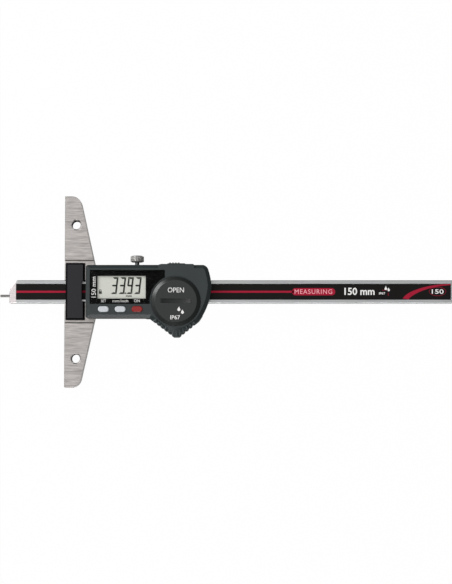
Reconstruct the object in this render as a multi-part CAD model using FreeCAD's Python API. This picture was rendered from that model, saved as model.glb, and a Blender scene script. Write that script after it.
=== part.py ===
"""Digital depth caliper: a steel bridge and an electronic slide, with a flat depth rod running through both.

Millimetres. X runs along the depth rod and the measuring pin points to -X. Y runs along the bridge.
Z is up out of the display. The measuring face is the plane X = 0, the rod's centre line is Y = 0,
and the back of the instrument lies on Z = 0.
"""

import FreeCAD
import Part
import math
import os

Vector = FreeCAD.Vector

# Clearances
running_gap = 0.05  # between the rod and the walls that guide it
pocket_gap = 0.05  # round a piece that sits in a pocket
thread_gap = 0.04  # round a screw, on the radius
contact_gap = 0.02  # between pieces that touch and are moved apart by a joint

# Measuring travel
measuring_range = 150.0
reading = 33.93  # what the display shows, from the measuring face to the tip of the pin

# Depth rod
rod_width = 12.0
rod_thickness = 4.0
rod_past_stop = 14.3  # from the stop screw to the rod's tail
rod_edge_chamfer = 0.3
nose_bevel_length = 3.6
nose_bevel_width = 4.6
nose_step = 0.4
nose_flat_width = 2.0
pin_diameter = 1.3
pin_free_length = 5.0
pin_seat_depth = 6.0
pin_offset = 2.1  # how far the pin lies below the rod's centre line
pin_tip_radius = 0.25
scale_width = 8.2
scale_groove_depth = 0.45
scale_start = 3.5  # from the rod's nose
scale_tail_margin = 1.1
strip_thickness = 0.25
foil_thickness = 0.1
stop_screw_radius = 1.0
stop_head_radius = 1.8
stop_head_height = 1.1
stop_screw_depth = 2.6
stop_margin = 0.3

# Bridge
bridge_length = 100.0
bridge_thickness = 8.0
bridge_depth = 16.6  # from the measuring face to the rear face, at the middle
bridge_tip_depth = 7.8
bridge_rear_flat = 20.8
bridge_tip_radius = 5.2
bridge_edge_chamfer = 0.25
bridge_floor = 2.55  # steel left under the rod
extension_spacing = 70.0
extension_from_face = 5.9
extension_hole_diameter = 4.6
extension_hole_chamfer = 0.5
relief_spacing = 32.6
relief_width = 0.6
relief_depth = 0.6

# Guide plate on the bridge
plate_from_face = 0.62
plate_depth = 10.05
plate_length = 29.9
plate_thickness = 2.0
plate_bevel = 1.0
plate_corner_radius = 0.4
plate_notch_depth = 1.65
plate_notch_width = 10.4
plate_screw_spacing = 22.4

# Slide body and its back plate
slide_length = 53.9
slide_step = 0.94  # how far the slide stands in from the nearer side of the housing
slide_corner_radius = 1.0
slide_window_width = 9.0
slide_end_wall = 3.4
back_plate_thickness = 1.2
back_plate_inset = 0.3
back_screw_from_end = 4.2
back_screw_rear_inset = 8.6
back_screw_from_side = 2.2
back_screw_depth = 3.2
ear_length = 5.0
ear_thickness = 3.0
ear_clear_of_slot = 1.15

# Gib, its two set screws and the clamp
gib_thickness = 1.0
gib_length = 50.0
gib_pocket_depth = 1.15
gib_from_front = 1.9
set_screw_radius = 1.0
set_screw_length = 3.4
set_screw_from_end = 7.4
lock_x = 37.75
lock_thread_radius = 1.2
lock_neck_radius = 1.12
lock_head_radius = 3.5
lock_head_length = 3.4
lock_head_edge = 0.6
lock_head_standoff = 2.04  # from the side of the housing to the underside of the head
lock_knurls = 20
lock_knurl_width = 0.5
lock_knurl_depth = 0.22
lock_pitch = 0.45
clamp_turns = 0.5
shoe_radius = 1.1
shoe_length = 0.8

# Housing
housing_front = 11.4
housing_rear = 76.75
housing_port_side = 13.54  # from the rod's centre line to the side that carries the data port
housing_key_side = 14.25  # from the rod's centre line to the side beside the buttons
housing_bottom = 6.8
housing_top = 14.8
housing_wall = 1.4
housing_corner_radius = 1.3
housing_bevel = 1.9
grip_start = 44.5
grip_tip_start = 57.1
grip_tip_width = 2.85
grip_reach = 23.9
grip_end_x = 70.2
grip_end_y = 15.6
rear_widest_y = 2.6
rear_shoulder_x = 75.25
rear_shoulder_drop = 2.9  # from the port's side of the housing
rear_top_x = 72.3
rear_flank_bulge = 1.35
rear_side_bulge = 0.25
rear_corner_bulge = 0.65
tooth_pitch = 2.5
tooth_gap_width = 1.5
tooth_gap_depth = 0.55
bevel_gap_width = 1.1
bevel_gap_depth = 0.4
grip_bottom = 2.6
grip_skirt_start = 42.6
grip_wall = 1.7
grip_hollow_top = 7.3
grip_rib = 1.4
cavity_front = 18.3
cavity_rear = 68.9
display_cavity_front = 15.6
display_cavity_step = 10.7
boss_radius = 2.0
boss_front_x = 43.6
boss_rear_x = 68.0
boss_from_side = 2.1  # from the slide's side
housing_screw_radius = 0.9
housing_screw_head_radius = 1.6
housing_screw_head_height = 1.2
housing_screw_grip = 3.4
bridge_screw_radius = 1.2
bridge_screw_head_radius = 2.3
bridge_screw_grip = 2.5
plate_screw_radius = 1.0
plate_screw_head_radius = 1.9
seal_width = 0.6
seal_height = 0.5
seal_inset = 0.25
seal_land = 0.2  # wall between the seal and the room inside the housing

# Display
lens_front = 13.6
lens_rear = 52.55
lens_from_side = 2.74
lens_above_buttons = 2.75  # from the buttons' middle
lens_thickness = 0.7
lens_corner_radius = 0.5
lens_sink = 0.05
gasket_thickness = 0.1
view_front = 17.5
view_length = 25.1
view_in_lens = 2.8
view_from_wall = 3.8  # from the wall of the room inside the housing
view_margin = 0.3
glass_margin_x = 1.0
glass_margin_y = 1.0
glass_thickness = 1.75
holder_wall = 0.6
holder_ledge = 0.6
holder_foot = 3.0
zebra_width = 0.8
zebra_trim = 2.6

# Circuit boards
board_thickness = 0.8
board_gap = 0.3
sensor_length = 44.0
sensor_width = 8.6
sensor_gap = 0.25
chip_side = 7.0
chip_height = 1.3
chip_bevel = 0.25
chip_x = 31.0
crystal_radius = 0.95
crystal_length = 6.0
crystal_x = 21.5
crystal_y = -1.5
chip_part_length = 1.6
chip_part_width = 0.8
chip_part_height = 0.7
chip_part_pitch = 1.7
chip_part_count = 5

# Buttons
button_x = 29.45
button_from_wall = 1.95
button_pitch = 8.74
button_length = 5.58
button_width = 2.95
button_rise = 0.6
button_crown = 0.3
button_gap = 0.12
button_travel = 0.5
button_flange = 0.35
button_flange_thickness = 0.9
plunger_half = 0.7
dome_radius = 1.5
dome_height = 0.45
keypad_wall = 0.35
keypad_thickness = 0.35
keypad_room = 0.05
keypad_width = 3.7

# Battery and its cover
battery_x = 58.3
battery_clear_of_port = 0.54  # between the battery well and the foot of the connector
battery_diameter = 20.0
battery_height = 3.2
battery_lift = 0.8
battery_rim = 0.3  # the step round the cup and the slope of the cell's upper edge
battery_cup_inset = 1.2
battery_gap = 0.25
cover_diameter = 25.6
cover_height = 1.6
cover_bevel = 1.95
cover_bevel_height = 1.25
cover_recess = 0.3
cover_recess_gap = 0.45
cover_spigot_radius = 11.4
cover_bore_gap = 0.1
cover_skin = 1.6
cover_cup_radius = 9.8
coin_slot_length = 16.5
coin_slot_width = 2.5
coin_slot_depth = 1.1
well_wall = 1.3
o_ring_section = 0.84
o_ring_flats = 6  # the ring is pressed out of round in its groove
o_ring_gap = 0.03
o_ring_drop = 0.8
lens_wall = 0.4  # housing left between the cover's recess and the lens

# Battery contacts
leaf_thickness = 0.2
leaf_width = 4.0
leaf_reach = 6.0
leaf_foot = 3.0
clip_width = 3.0
clip_angle = 150.0
clip_foot = 2.2

# Data port
port_front = 49.1
port_rear = 67.7
port_rise = 0.4
port_front_slope = 1.5
port_rear_slope = 0.6
port_edge = 0.25
port_opening_length = 13.8
port_opening_height = 4.7
port_opening_base = 8.65
port_depth = 2.8
port_back_wall = 1.4
port_cover_thickness = 1.45
port_pad_length = 9.1
port_pad_rise = 0.6
port_rib_gap = 0.7
port_rib_pitch = 1.5
port_rib_count = 5
connector_length = 8.8
connector_height = 2.3
connector_base = 9.8
connector_reach = 0.7
connector_foot = 1.6
contact_count = 5
contact_width = 0.7
contact_thickness = 0.15
contact_pitch = 1.5

# Wipers
wiper_thickness = 2.0
wiper_front_x = 12.0
wiper_rear_x = 71.0
wiper_width = 11.8
wiper_pocket = 1.0
wiper_gap = 0.03

# Heights and places worked out from the sizes above
rod_back = bridge_floor + running_gap
rod_top = rod_back + rod_thickness
rod_half = rod_width / 2
rod_nose = pin_free_length - reading
slot_half = rod_half + running_gap
slot_top = rod_top + running_gap
slide_front = bridge_depth
slide_rear = slide_front + slide_length
slide_top = bridge_thickness
slide_half = min(housing_port_side, housing_key_side) - slide_step
gib_outer = rod_half + 0.6 * running_gap + gib_thickness
gib_wall = slot_half + gib_pocket_depth
guide_middle = (rod_back + rod_top) / 2
roof_underside = housing_top - housing_wall
board_top = slide_top + board_thickness
cavity_half = slide_half - seal_inset - seal_width - seal_land
boss_y = slide_half - boss_from_side
button_y = button_from_wall - cavity_half
lens_underside = housing_top - lens_sink - lens_thickness
gasket_underside = lens_underside - gasket_thickness
lens_top_y = housing_port_side - lens_from_side
lens_bottom_y = button_y + lens_above_buttons
view_rear = view_front + view_length
view_bottom_y = lens_bottom_y + view_in_lens
view_top_y = cavity_half - view_from_wall
chip_y = (view_bottom_y + view_top_y) / 2
glass_top = roof_underside - pocket_gap
glass_underside = glass_top - glass_thickness
cover_seat = housing_top - cover_recess
cover_underside = cover_seat + pocket_gap
cover_top = cover_underside + cover_height
cover_radius = cover_diameter / 2
bore_radius = cover_spigot_radius + cover_bore_gap
battery_bottom = board_top + battery_lift
battery_top = battery_bottom + battery_height
spigot_bottom = battery_top - pocket_gap
well_floor = spigot_bottom - pocket_gap
well_radius = bore_radius + well_wall
battery_well_radius = battery_diameter / 2 + battery_gap
port_face = housing_port_side + port_rise
port_floor = port_face - port_depth
port_inside = port_floor - port_back_wall
connector_foot_end = port_inside - board_gap - connector_foot
battery_y = connector_foot_end - battery_clear_of_port - well_radius
port_middle = (port_front + port_rear) / 2
ear_inner = slot_half + ear_clear_of_slot
ear_outer = slide_half
bridge_screw_x = slide_front - ear_length / 2
bridge_screw_y = (ear_inner + ear_outer) / 2
travel_out = measuring_range - reading
stop_x = slide_rear + travel_out + stop_margin + stop_head_radius
rod_tail = stop_x + rod_past_stop
overcut = 1.0  # how far a cutting shape runs past the face that it cuts


def box(x_range, y_range, z_range):
    """A block between two corners, each axis given as (low, high)."""
    low = Vector(x_range[0], y_range[0], z_range[0])
    size = [r[1] - r[0] for r in (x_range, y_range, z_range)]
    return Part.makeBox(size[0], size[1], size[2], low)


def block_at(centre, half_length, half_width, z_range):
    """A block about a middle in the plan."""
    x, y = centre
    return box((x - half_length, x + half_length), (y - half_width, y + half_width), z_range)


def disc(radius, centre, z_range):
    """An upright cylinder."""
    base = Vector(centre[0], centre[1], z_range[0])
    return Part.makeCylinder(radius, z_range[1] - z_range[0], base)


def rod_along(radius, start, end):
    """A cylinder from one point to another."""
    axis = end - start
    return Part.makeCylinder(radius, axis.Length, start, axis)


def bulged_edge(start, end, bulge):
    """A straight edge, or an arc that stands off its chord by bulge, to the right of the way it runs."""
    if abs(bulge) < 1e-9:
        return Part.LineSegment(start, end).toShape()
    along = (end - start).normalize()
    middle = (start + end) * 0.5 + Vector(along.y, -along.x, 0) * bulge
    return Part.Arc(start, middle, end).toShape()


def outline(corners):
    """A closed flat wire at z = 0. Each corner is (x, y, corner radius, bulge of the edge that leaves it)."""
    points = [Vector(c[0], c[1], 0) for c in corners]
    count = len(points)
    ends = []
    for i, corner in enumerate(corners):
        radius = corner[2]
        point = points[i]
        if radius == 0:
            ends.append((point, None, point))
            continue
        back = (points[i - 1] - point).normalize()
        ahead = (points[(i + 1) % count] - point).normalize()
        half_angle = back.getAngle(ahead) / 2
        reach = radius / math.tan(half_angle)
        to_centre = (back + ahead).normalize()
        middle = point + to_centre * (radius / math.sin(half_angle) - radius)
        ends.append((point + back * reach, middle, point + ahead * reach))
    edges = []
    for i, (arrive, middle, leave) in enumerate(ends):
        if middle is not None:
            edges.append(Part.Arc(arrive, middle, leave).toShape())
        edges.append(bulged_edge(leave, ends[(i + 1) % count][0], corners[i][3]))
    return Part.Wire(edges)


def plate(corners, z_range):
    """A flat plate with a rounded outline."""
    face = Part.Face(outline(corners))
    face.translate(Vector(0, 0, z_range[0]))
    return face.extrude(Vector(0, 0, z_range[1] - z_range[0]))


def arc_radius(chord, bulge):
    """The radius of an arc that stands off its chord by bulge."""
    return (chord * chord / 4 + bulge * bulge) / (2 * bulge)


def moved_edge(start, end, bulge, inset):
    """The endless line or the whole circle of an edge that has moved inwards, to the left of its way."""
    along = end - start
    chord = along.Length
    along.normalize()
    left = Vector(-along.y, along.x, 0)
    if bulge == 0:
        return Part.Line(start + left * inset, end + left * inset)
    radius = arc_radius(chord, bulge)
    centre = (start + end) * 0.5 + left * (radius - bulge)
    return Part.Circle(centre, Vector(0, 0, 1), radius - inset)


def inset_corners(corners, inset):
    """A sharp-cornered outline with all its edges moved inwards. It runs counter-clockwise."""
    count = len(corners)
    points = [Vector(x, y, 0) for x, y, radius, bulge in corners]
    edges = [moved_edge(points[i], points[(i + 1) % count], corners[i][3], inset) for i in range(count)]
    moved = []
    for i, point in enumerate(points):
        hits = [Vector(hit.X, hit.Y, 0) for hit in edges[i - 1].intersectCC(edges[i])]
        moved.append(min(hits, key=point.distanceToPoint))
    result = []
    for i, point in enumerate(moved):
        bulge = corners[i][3]
        if bulge:
            old_chord = (points[(i + 1) % count] - points[i]).Length
            radius = arc_radius(old_chord, bulge) - inset
            chord = (moved[(i + 1) % count] - point).Length
            bulge = radius - math.sqrt(radius * radius - chord * chord / 4)
        result.append((point.x, point.y, 0, bulge))
    return result


def bevelled_plate(corners, z_range, bevel):
    """A plate whose top edge is bevelled all round. The upright corners are rounded after the bevel."""
    sharp = [(x, y, 0, bulge) for x, y, radius, bulge in corners]
    low = outline(sharp)
    high = outline(inset_corners(sharp, bevel))
    low.translate(Vector(0, 0, z_range[1] - bevel))
    high.translate(Vector(0, 0, z_range[1]))
    body = Part.makeLoft([low, high], True, True)
    body = body.fuse(plate(sharp, (z_range[0], z_range[1] - bevel)))
    return body.common(plate(corners, z_range))


def block_corners(x_range, y_range, radius):
    """The outline of a block with rounded upright edges."""
    return [
        (x_range[0], y_range[0], radius, 0),
        (x_range[1], y_range[0], radius, 0),
        (x_range[1], y_range[1], radius, 0),
        (x_range[0], y_range[1], radius, 0),
    ]


def rounded_block(x_range, y_range, z_range, radius):
    """A block with rounded upright edges."""
    return plate(block_corners(x_range, y_range, radius), z_range)


def obround(centre, length, width, z_range):
    """A block with round ends, long in X."""
    half = (length - width) / 2
    radius = width / 2
    start = Vector(centre[0] - half, centre[1] - radius, z_range[0])
    right = Vector(centre[0] + half, centre[1] - radius, z_range[0])
    right_end = Vector(centre[0] + half, centre[1] + radius, z_range[0])
    left_end = Vector(centre[0] - half, centre[1] + radius, z_range[0])
    edges = [
        Part.LineSegment(start, right).toShape(),
        Part.Arc(right, Vector(centre[0] + length / 2, centre[1], z_range[0]), right_end).toShape(),
        Part.LineSegment(right_end, left_end).toShape(),
        Part.Arc(left_end, Vector(centre[0] - length / 2, centre[1], z_range[0]), start).toShape(),
    ]
    face = Part.Face(Part.Wire(edges))
    return face.extrude(Vector(0, 0, z_range[1] - z_range[0]))


def turned(profile, centre, axis):
    """A turned piece. The profile's points are (radius, distance along the axis)."""
    axis = Vector(*axis).normalize()
    side = Vector(1, 0, 0)
    centre = Vector(*centre)
    points = [centre + side * r + axis * a for r, a in profile]
    face = Part.Face(Part.makePolygon(points + [points[0]]))
    return face.revolve(centre, axis, 360)


def edges_at_height(shape, height):
    """The edges of a shape that lie flat at one height."""
    flat = []
    for edge in shape.Edges:
        bounds = edge.BoundBox
        if abs(bounds.ZMin - height) < 1e-4 and abs(bounds.ZMax - height) < 1e-4:
            flat.append(edge)
    return flat


def countersunk(radius, head_radius, centre, z_top):
    """A countersunk screw put in from the back, its head flush at z = 0."""
    head_depth = head_radius - radius
    profile = [(0, 0), (head_radius, 0), (radius, head_depth), (radius, z_top), (0, z_top)]
    screw = turned(profile, (centre[0], centre[1], 0), (0, 0, 1))
    slot = box(
        (centre[0] - head_radius, centre[0] + head_radius),
        (centre[1] - head_radius / 8, centre[1] + head_radius / 8),
        (-overcut, head_depth / 2),
    )
    return screw.cut(slot)


def countersunk_hole(radius, head_radius, centre, z_top):
    """What to cut out for such a screw."""
    wide = radius + thread_gap
    profile = [
        (0, -overcut),
        (head_radius + thread_gap + overcut, -overcut),
        (wide, head_radius - radius),
        (wide, z_top),
        (0, z_top),
    ]
    return turned(profile, (centre[0], centre[1], 0), (0, 0, 1))


def both_sides(y):
    """A distance to each side of the rod."""
    return (-y, y)


def button_places():
    """The middle of each of the three buttons."""
    return [(button_x + i * button_pitch, button_y) for i in (-1, 0, 1)]


# Depth rod and what rides on it


def depth_rod():
    nose = rod_nose
    bevel_low = rod_half - nose_bevel_width
    corners = [
        (rod_tail, -rod_half, 0.6, 0),
        (rod_tail, rod_half, 0.6, 0),
        (nose + nose_bevel_length + nose_step, rod_half, 0, 0),
        (nose + nose_step, bevel_low, 0, 0),
        (nose, bevel_low - nose_flat_width, 0, 0),
        (nose, -rod_half, 0.6, 0),
    ]
    rod = plate(corners, (rod_back, rod_top))
    long_edges = [e for e in rod.Edges if e.BoundBox.XLength > 0.9 * (rod_tail - rod_nose)]
    rod = rod.makeChamfer(rod_edge_chamfer, long_edges)
    rod = rod.cut(scale_bed((rod_top - scale_groove_depth, rod_top + overcut), pocket_gap))
    seat = rod_along(
        pin_diameter / 2 + contact_gap / 2,
        Vector(nose - overcut, -pin_offset, guide_middle),
        Vector(nose + pin_seat_depth, -pin_offset, guide_middle),
    )
    rod = rod.cut(seat)
    thread = disc(
        stop_screw_radius + thread_gap, (stop_x, 0), (rod_back - overcut, rod_back + stop_screw_depth)
    )
    return rod.cut(thread)


def scale_bed(z_range, gap):
    """The long shape of the scale on the rod's face, grown by a gap."""
    half = scale_width / 2 + gap
    x_range = (rod_nose + scale_start - gap, rod_tail - scale_tail_margin + gap)
    return box(x_range, both_sides(half), z_range)


def scale_strip():
    base = rod_top - scale_groove_depth
    return scale_bed((base, base + strip_thickness), 0)


def scale_foil():
    base = rod_top - scale_groove_depth + strip_thickness
    return scale_bed((base, base + foil_thickness), 0)


def measuring_pin():
    radius = pin_diameter / 2
    length = pin_free_length + pin_seat_depth
    profile = [
        (0, 0),
        (radius - pin_tip_radius, 0),
        (radius, pin_tip_radius),
        (radius, length),
        (0, length),
    ]
    face_points = [Vector(-reading + a, -pin_offset + r, guide_middle) for r, a in profile]
    face = Part.Face(Part.makePolygon(face_points + [face_points[0]]))
    return face.revolve(Vector(-reading, -pin_offset, guide_middle), Vector(1, 0, 0), 360)


def rod_stop_screw():
    head_bottom = rod_back - stop_head_height
    profile = [
        (0, head_bottom),
        (stop_head_radius, head_bottom),
        (stop_head_radius, rod_back),
        (stop_screw_radius, rod_back),
        (stop_screw_radius, rod_back + stop_screw_depth - pocket_gap),
        (0, rod_back + stop_screw_depth - pocket_gap),
    ]
    screw = turned(profile, (stop_x, 0, 0), (0, 0, 1))
    slot = box(
        (stop_x - stop_head_radius, stop_x + stop_head_radius),
        both_sides(stop_head_radius / 8),
        (head_bottom - overcut, head_bottom + stop_head_height / 2),
    )
    return screw.cut(slot)


# Bridge and the plate over the rod


def bridge():
    half = bridge_length / 2
    flat = bridge_rear_flat / 2
    radius = bridge_tip_radius
    corners = [
        (0, -half, 0, 0),
        (bridge_tip_depth, -half, radius, 0),
        (bridge_depth, -flat, 0, 0),
        (bridge_depth, flat, 0, 0),
        (bridge_tip_depth, half, radius, 0),
        (0, half, 0, 0),
    ]
    body = plate(corners, (0, bridge_thickness))
    edges = edges_at_height(body, bridge_thickness) + edges_at_height(body, 0)
    body = body.makeChamfer(bridge_edge_chamfer, edges)
    through = (-overcut, bridge_depth + overcut)
    slot = box(through, both_sides(slot_half), (bridge_floor, bridge_thickness + overcut))
    body = body.cut(slot)
    for side in (-1, 1):
        body = body.cut(extension_hole(side))
        y = side * relief_spacing / 2
        relief = box(
            through,
            (y - relief_width / 2, y + relief_width / 2),
            (bridge_thickness - relief_depth, bridge_thickness + overcut),
        )
        body = body.cut(relief)
        body = body.cut(ear_space(side, pocket_gap))
        body = body.cut(plate_screw_hole(side))
        body = body.cut(bridge_screw_hole(side))
    return body


def extension_hole(side):
    radius = extension_hole_diameter / 2
    wide = radius + extension_hole_chamfer
    profile = [
        (0, -overcut),
        (wide + overcut, -overcut),
        (radius, extension_hole_chamfer),
        (radius, bridge_thickness - extension_hole_chamfer),
        (wide + overcut, bridge_thickness + overcut),
        (0, bridge_thickness + overcut),
    ]
    return turned(profile, (extension_from_face, side * extension_spacing / 2, 0), (0, 0, 1))


def ear_space(side, gap):
    """One ear of the slide body, or with a gap the pocket in the bridge that takes it."""
    y_low = min(side * ear_inner, side * ear_outer) - gap
    y_high = max(side * ear_inner, side * ear_outer) + gap
    top = slide_top + (overcut if gap else 0)
    rear = slide_front + (overcut if gap else 0.5)
    x_range = (slide_front - ear_length - gap, rear)
    return box(x_range, (y_low, y_high), (slide_top - ear_thickness - gap, top))


def plate_screw_place(side):
    return (plate_from_face + plate_depth / 2, side * plate_screw_spacing / 2)


def plate_screw_top():
    return bridge_thickness + 0.6 * plate_thickness


def plate_screw_hole(side):
    top = plate_screw_top() + pocket_gap
    return countersunk_hole(plate_screw_radius, plate_screw_head_radius, plate_screw_place(side), top)


def bridge_screw_hole(side):
    top = slide_top + bridge_screw_grip + pocket_gap
    place = (bridge_screw_x, side * bridge_screw_y)
    return countersunk_hole(bridge_screw_radius, bridge_screw_head_radius, place, top)


def guide_plate():
    x_range = (plate_from_face, plate_from_face + plate_depth)
    half = plate_length / 2
    top = bridge_thickness + plate_thickness
    corners = block_corners(x_range, both_sides(half), plate_corner_radius)
    body = bevelled_plate(corners, (bridge_thickness, top), plate_bevel)
    tongue = box(x_range, both_sides(rod_half), (slot_top, bridge_thickness + overcut))
    body = body.fuse(tongue)
    notch = box(
        (x_range[1] - plate_notch_depth, x_range[1] + overcut),
        both_sides(plate_notch_width / 2),
        (0, top + overcut),
    )
    body = body.cut(notch)
    body = body.removeSplitter()
    for side in (-1, 1):
        body = body.cut(plate_screw_hole(side))
    return body


def guide_plate_screws():
    top = plate_screw_top()
    return [
        countersunk(plate_screw_radius, plate_screw_head_radius, plate_screw_place(s), top) for s in (-1, 1)
    ]


def bridge_screws():
    top = slide_top + bridge_screw_grip
    return [
        countersunk(bridge_screw_radius, bridge_screw_head_radius, (bridge_screw_x, s * bridge_screw_y), top)
        for s in (-1, 1)
    ]


# Slide body, its back plate, gib and clamp


def housing_screw_places():
    return [(boss_front_x, -boss_y), (boss_rear_x, boss_y)]


def back_screw_places():
    rows = both_sides(slide_half - back_screw_from_side)
    columns = (slide_front + back_screw_from_end, slide_rear - back_screw_rear_inset)
    return [(x, y) for x in columns for y in rows]


def set_screw_columns():
    return (slide_front + set_screw_from_end + 2, slide_rear - set_screw_from_end)


def slide_body():
    x_range = (slide_front, slide_rear)
    z_range = (back_plate_thickness, slide_top)
    body = rounded_block(x_range, both_sides(slide_half), z_range, slide_corner_radius)
    square_front = box((slide_front, slide_front + 2 * slide_corner_radius), both_sides(slide_half), z_range)
    body = body.fuse(square_front)
    for side in (-1, 1):
        body = body.fuse(ear_space(side, 0))
    body = body.removeSplitter()
    through = (slide_front - overcut, slide_rear + overcut)
    body = body.cut(box(through, both_sides(slot_half), (bridge_floor, slot_top)))
    window = (slide_front + slide_end_wall, slide_rear - slide_end_wall)
    half_window = slide_window_width / 2
    body = body.cut(box(window, both_sides(half_window), (slot_top - overcut, slide_top + overcut)))
    body = body.cut(gib_pocket())
    body = body.cut(clamp_bore())
    for x in set_screw_columns():
        bore = rod_along(
            set_screw_radius + thread_gap,
            Vector(x, slot_half, guide_middle),
            Vector(x, slide_half + overcut, guide_middle),
        )
        body = body.cut(bore)
    for place in housing_screw_places():
        body = body.cut(disc(housing_screw_radius + thread_gap, place, (0, slide_top + overcut)))
        head_room = back_plate_thickness + housing_screw_head_height + pocket_gap
        body = body.cut(disc(housing_screw_head_radius + pocket_gap, place, (0, head_room)))
    for place in back_screw_places():
        body = body.cut(disc(plate_screw_radius + thread_gap, place, (0, back_screw_depth + pocket_gap)))
    for side in (-1, 1):
        body = body.cut(bridge_screw_hole(side))
    return body


def gib_pocket():
    start = slide_front + gib_from_front - pocket_gap
    end = slide_front + gib_from_front + gib_length + pocket_gap
    return box((start, end), (slot_half - overcut, gib_wall), (bridge_floor, slot_top))


def clamp_bore():
    return rod_along(
        lock_thread_radius + thread_gap,
        Vector(lock_x, slot_half, guide_middle),
        Vector(lock_x, slide_half + overcut, guide_middle),
    )


def back_plate():
    inset = back_plate_inset
    x_range = (slide_front + inset, slide_rear - inset)
    body = rounded_block(x_range, both_sides(slide_half - inset), (0, back_plate_thickness), 1.0)
    for place in back_screw_places():
        top = back_screw_depth + pocket_gap
        body = body.cut(countersunk_hole(plate_screw_radius, plate_screw_head_radius, place, top))
    return body


def back_plate_screws():
    return [
        countersunk(plate_screw_radius, plate_screw_head_radius, place, back_screw_depth)
        for place in back_screw_places()
    ]


def gib():
    start = slide_front + gib_from_front
    y_range = (gib_outer - gib_thickness, gib_outer)
    return box((start, start + gib_length), y_range, (bridge_floor + running_gap, slot_top - running_gap))


def gib_set_screws():
    screws = []
    for x in set_screw_columns():
        start = Vector(x, gib_outer + contact_gap, guide_middle)
        end = start + Vector(0, set_screw_length, 0)
        screw = rod_along(set_screw_radius, start, end)
        slot = box(
            (x - set_screw_radius, x + set_screw_radius),
            (end.y - 0.7, end.y + overcut),
            (guide_middle - 0.2, guide_middle + 0.2),
        )
        screws.append(screw.cut(slot))
    return screws


def shoe_outer():
    """Where the outer end of the clamp shoe lies with the screw slack."""
    return gib_outer + 1.5 * contact_gap + clamp_turns * lock_pitch + shoe_length


def clamp_shoe():
    outer = Vector(lock_x, shoe_outer(), guide_middle)
    return rod_along(shoe_radius, outer - Vector(0, shoe_length, 0), outer)


def lock_screw():
    tip = shoe_outer() + contact_gap
    thread_end = slide_half - 0.3
    head_start = housing_port_side + lock_head_standoff
    head_end = head_start + lock_head_length
    edge = lock_head_edge
    profile = [
        (0, tip),
        (lock_thread_radius, tip),
        (lock_thread_radius, thread_end),
        (lock_neck_radius, thread_end),
        (lock_neck_radius, head_start),
        (lock_head_radius, head_start),
        (lock_head_radius, head_end - edge),
        (lock_head_radius - edge, head_end),
        (0, head_end),
    ]
    screw = turned(profile, (lock_x, 0, guide_middle), (0, 1, 0))
    grooves = []
    for i in range(lock_knurls):
        angle = 2 * math.pi * i / lock_knurls
        outward = Vector(math.cos(angle), 0, math.sin(angle))
        along = Vector(-math.sin(angle), 0, math.cos(angle))
        foot = Vector(lock_x, head_start - overcut / 2, guide_middle) + outward * lock_head_radius
        run = Vector(0, lock_head_length + overcut, 0)
        grooves.append(notch(foot, along, outward * -1, lock_knurl_width / 2, lock_knurl_depth, run))
    return screw.cut(Part.makeCompound(grooves))


# Housing


def housing_outline():
    corner = housing_corner_radius
    return [
        (housing_front, -housing_key_side, corner, 0),
        (grip_start, -housing_key_side, 0, 0),
        (grip_tip_start, -grip_reach, 0.4, 0),
        (grip_tip_start + grip_tip_width, -grip_reach, 0.4, 0),
        (grip_end_x, -grip_end_y, 0, rear_flank_bulge),
        (housing_rear, rear_widest_y, 0, rear_side_bulge),
        (rear_shoulder_x, housing_port_side - rear_shoulder_drop, 0, rear_corner_bulge),
        (rear_top_x, housing_port_side, 0, 0),
        (housing_front, housing_port_side, corner, 0),
    ]


def grip_tooth_gaps():
    """The grooves between the teeth of the grip, down its side and over its bevel."""
    flanks = [
        (Vector(grip_tip_start, -grip_reach, 0), Vector(grip_start, -housing_key_side, 0), -1),
        (Vector(grip_tip_start + grip_tip_width, -grip_reach, 0), Vector(grip_end_x, -grip_end_y, 0), 1),
    ]
    cutters = []
    up = Vector(0, 0, 1)
    for tip, far, turn in flanks:
        along = (far - tip).normalize()
        inward = Vector(-along.y * turn, along.x * turn, 0)
        count = int(((far - tip).Length - tooth_pitch / 2) / tooth_pitch)
        for i in range(count):
            foot = tip + along * (tooth_pitch * (i + 0.75))
            height = up * (housing_top + overcut)
            cutters.append(notch(foot, along, inward, tooth_gap_width, tooth_gap_depth, height))
            low = foot + up * (housing_top - housing_bevel - bevel_gap_depth) - inward * bevel_gap_depth
            run = (inward + up) * (housing_bevel + 2 * bevel_gap_depth)
            into = inward - up
            cutters.append(notch(low, along, into.normalize(), bevel_gap_width, bevel_gap_depth, run))
    return cutters


def notch(foot, along, inward, width, depth, run):
    """A cutter for a three-cornered groove, with its open side at foot and its length along run."""
    outside = inward * -depth
    corners = [
        foot + outside - along * width,
        foot + outside + along * width,
        foot + inward * depth,
    ]
    return Part.Face(Part.makePolygon(corners + [corners[0]])).extrude(run)


def grip_skirt():
    """The deep part of the grip beside the slide body, hollow from below, with one rib across it."""
    beside = slide_half + pocket_gap
    reach = box(
        (grip_skirt_start, housing_rear + overcut),
        (-grip_reach - overcut, -beside),
        (grip_bottom - overcut, housing_top),
    )
    skirt = plate(housing_outline(), (grip_bottom, housing_bottom + overcut)).common(reach)
    sharp = [(x, y, 0, bulge) for x, y, radius, bulge in housing_outline()]
    inside = outline(inset_corners(sharp, grip_wall))
    inside.translate(Vector(0, 0, grip_bottom - overcut))
    hollow = Part.Face(inside).extrude(Vector(0, 0, grip_hollow_top - grip_bottom + overcut))
    reach_inside = box(
        (grip_skirt_start + grip_wall, housing_rear),
        (-grip_reach, -beside - grip_wall),
        (grip_bottom - overcut, housing_top),
    )
    rib_x = grip_tip_start + grip_tip_width / 2
    rib = box(
        (rib_x - grip_rib / 2, rib_x + grip_rib / 2),
        (-grip_reach, 0),
        (grip_bottom + 1, housing_top),
    )
    return skirt, hollow.common(reach_inside).cut(rib)


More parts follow.
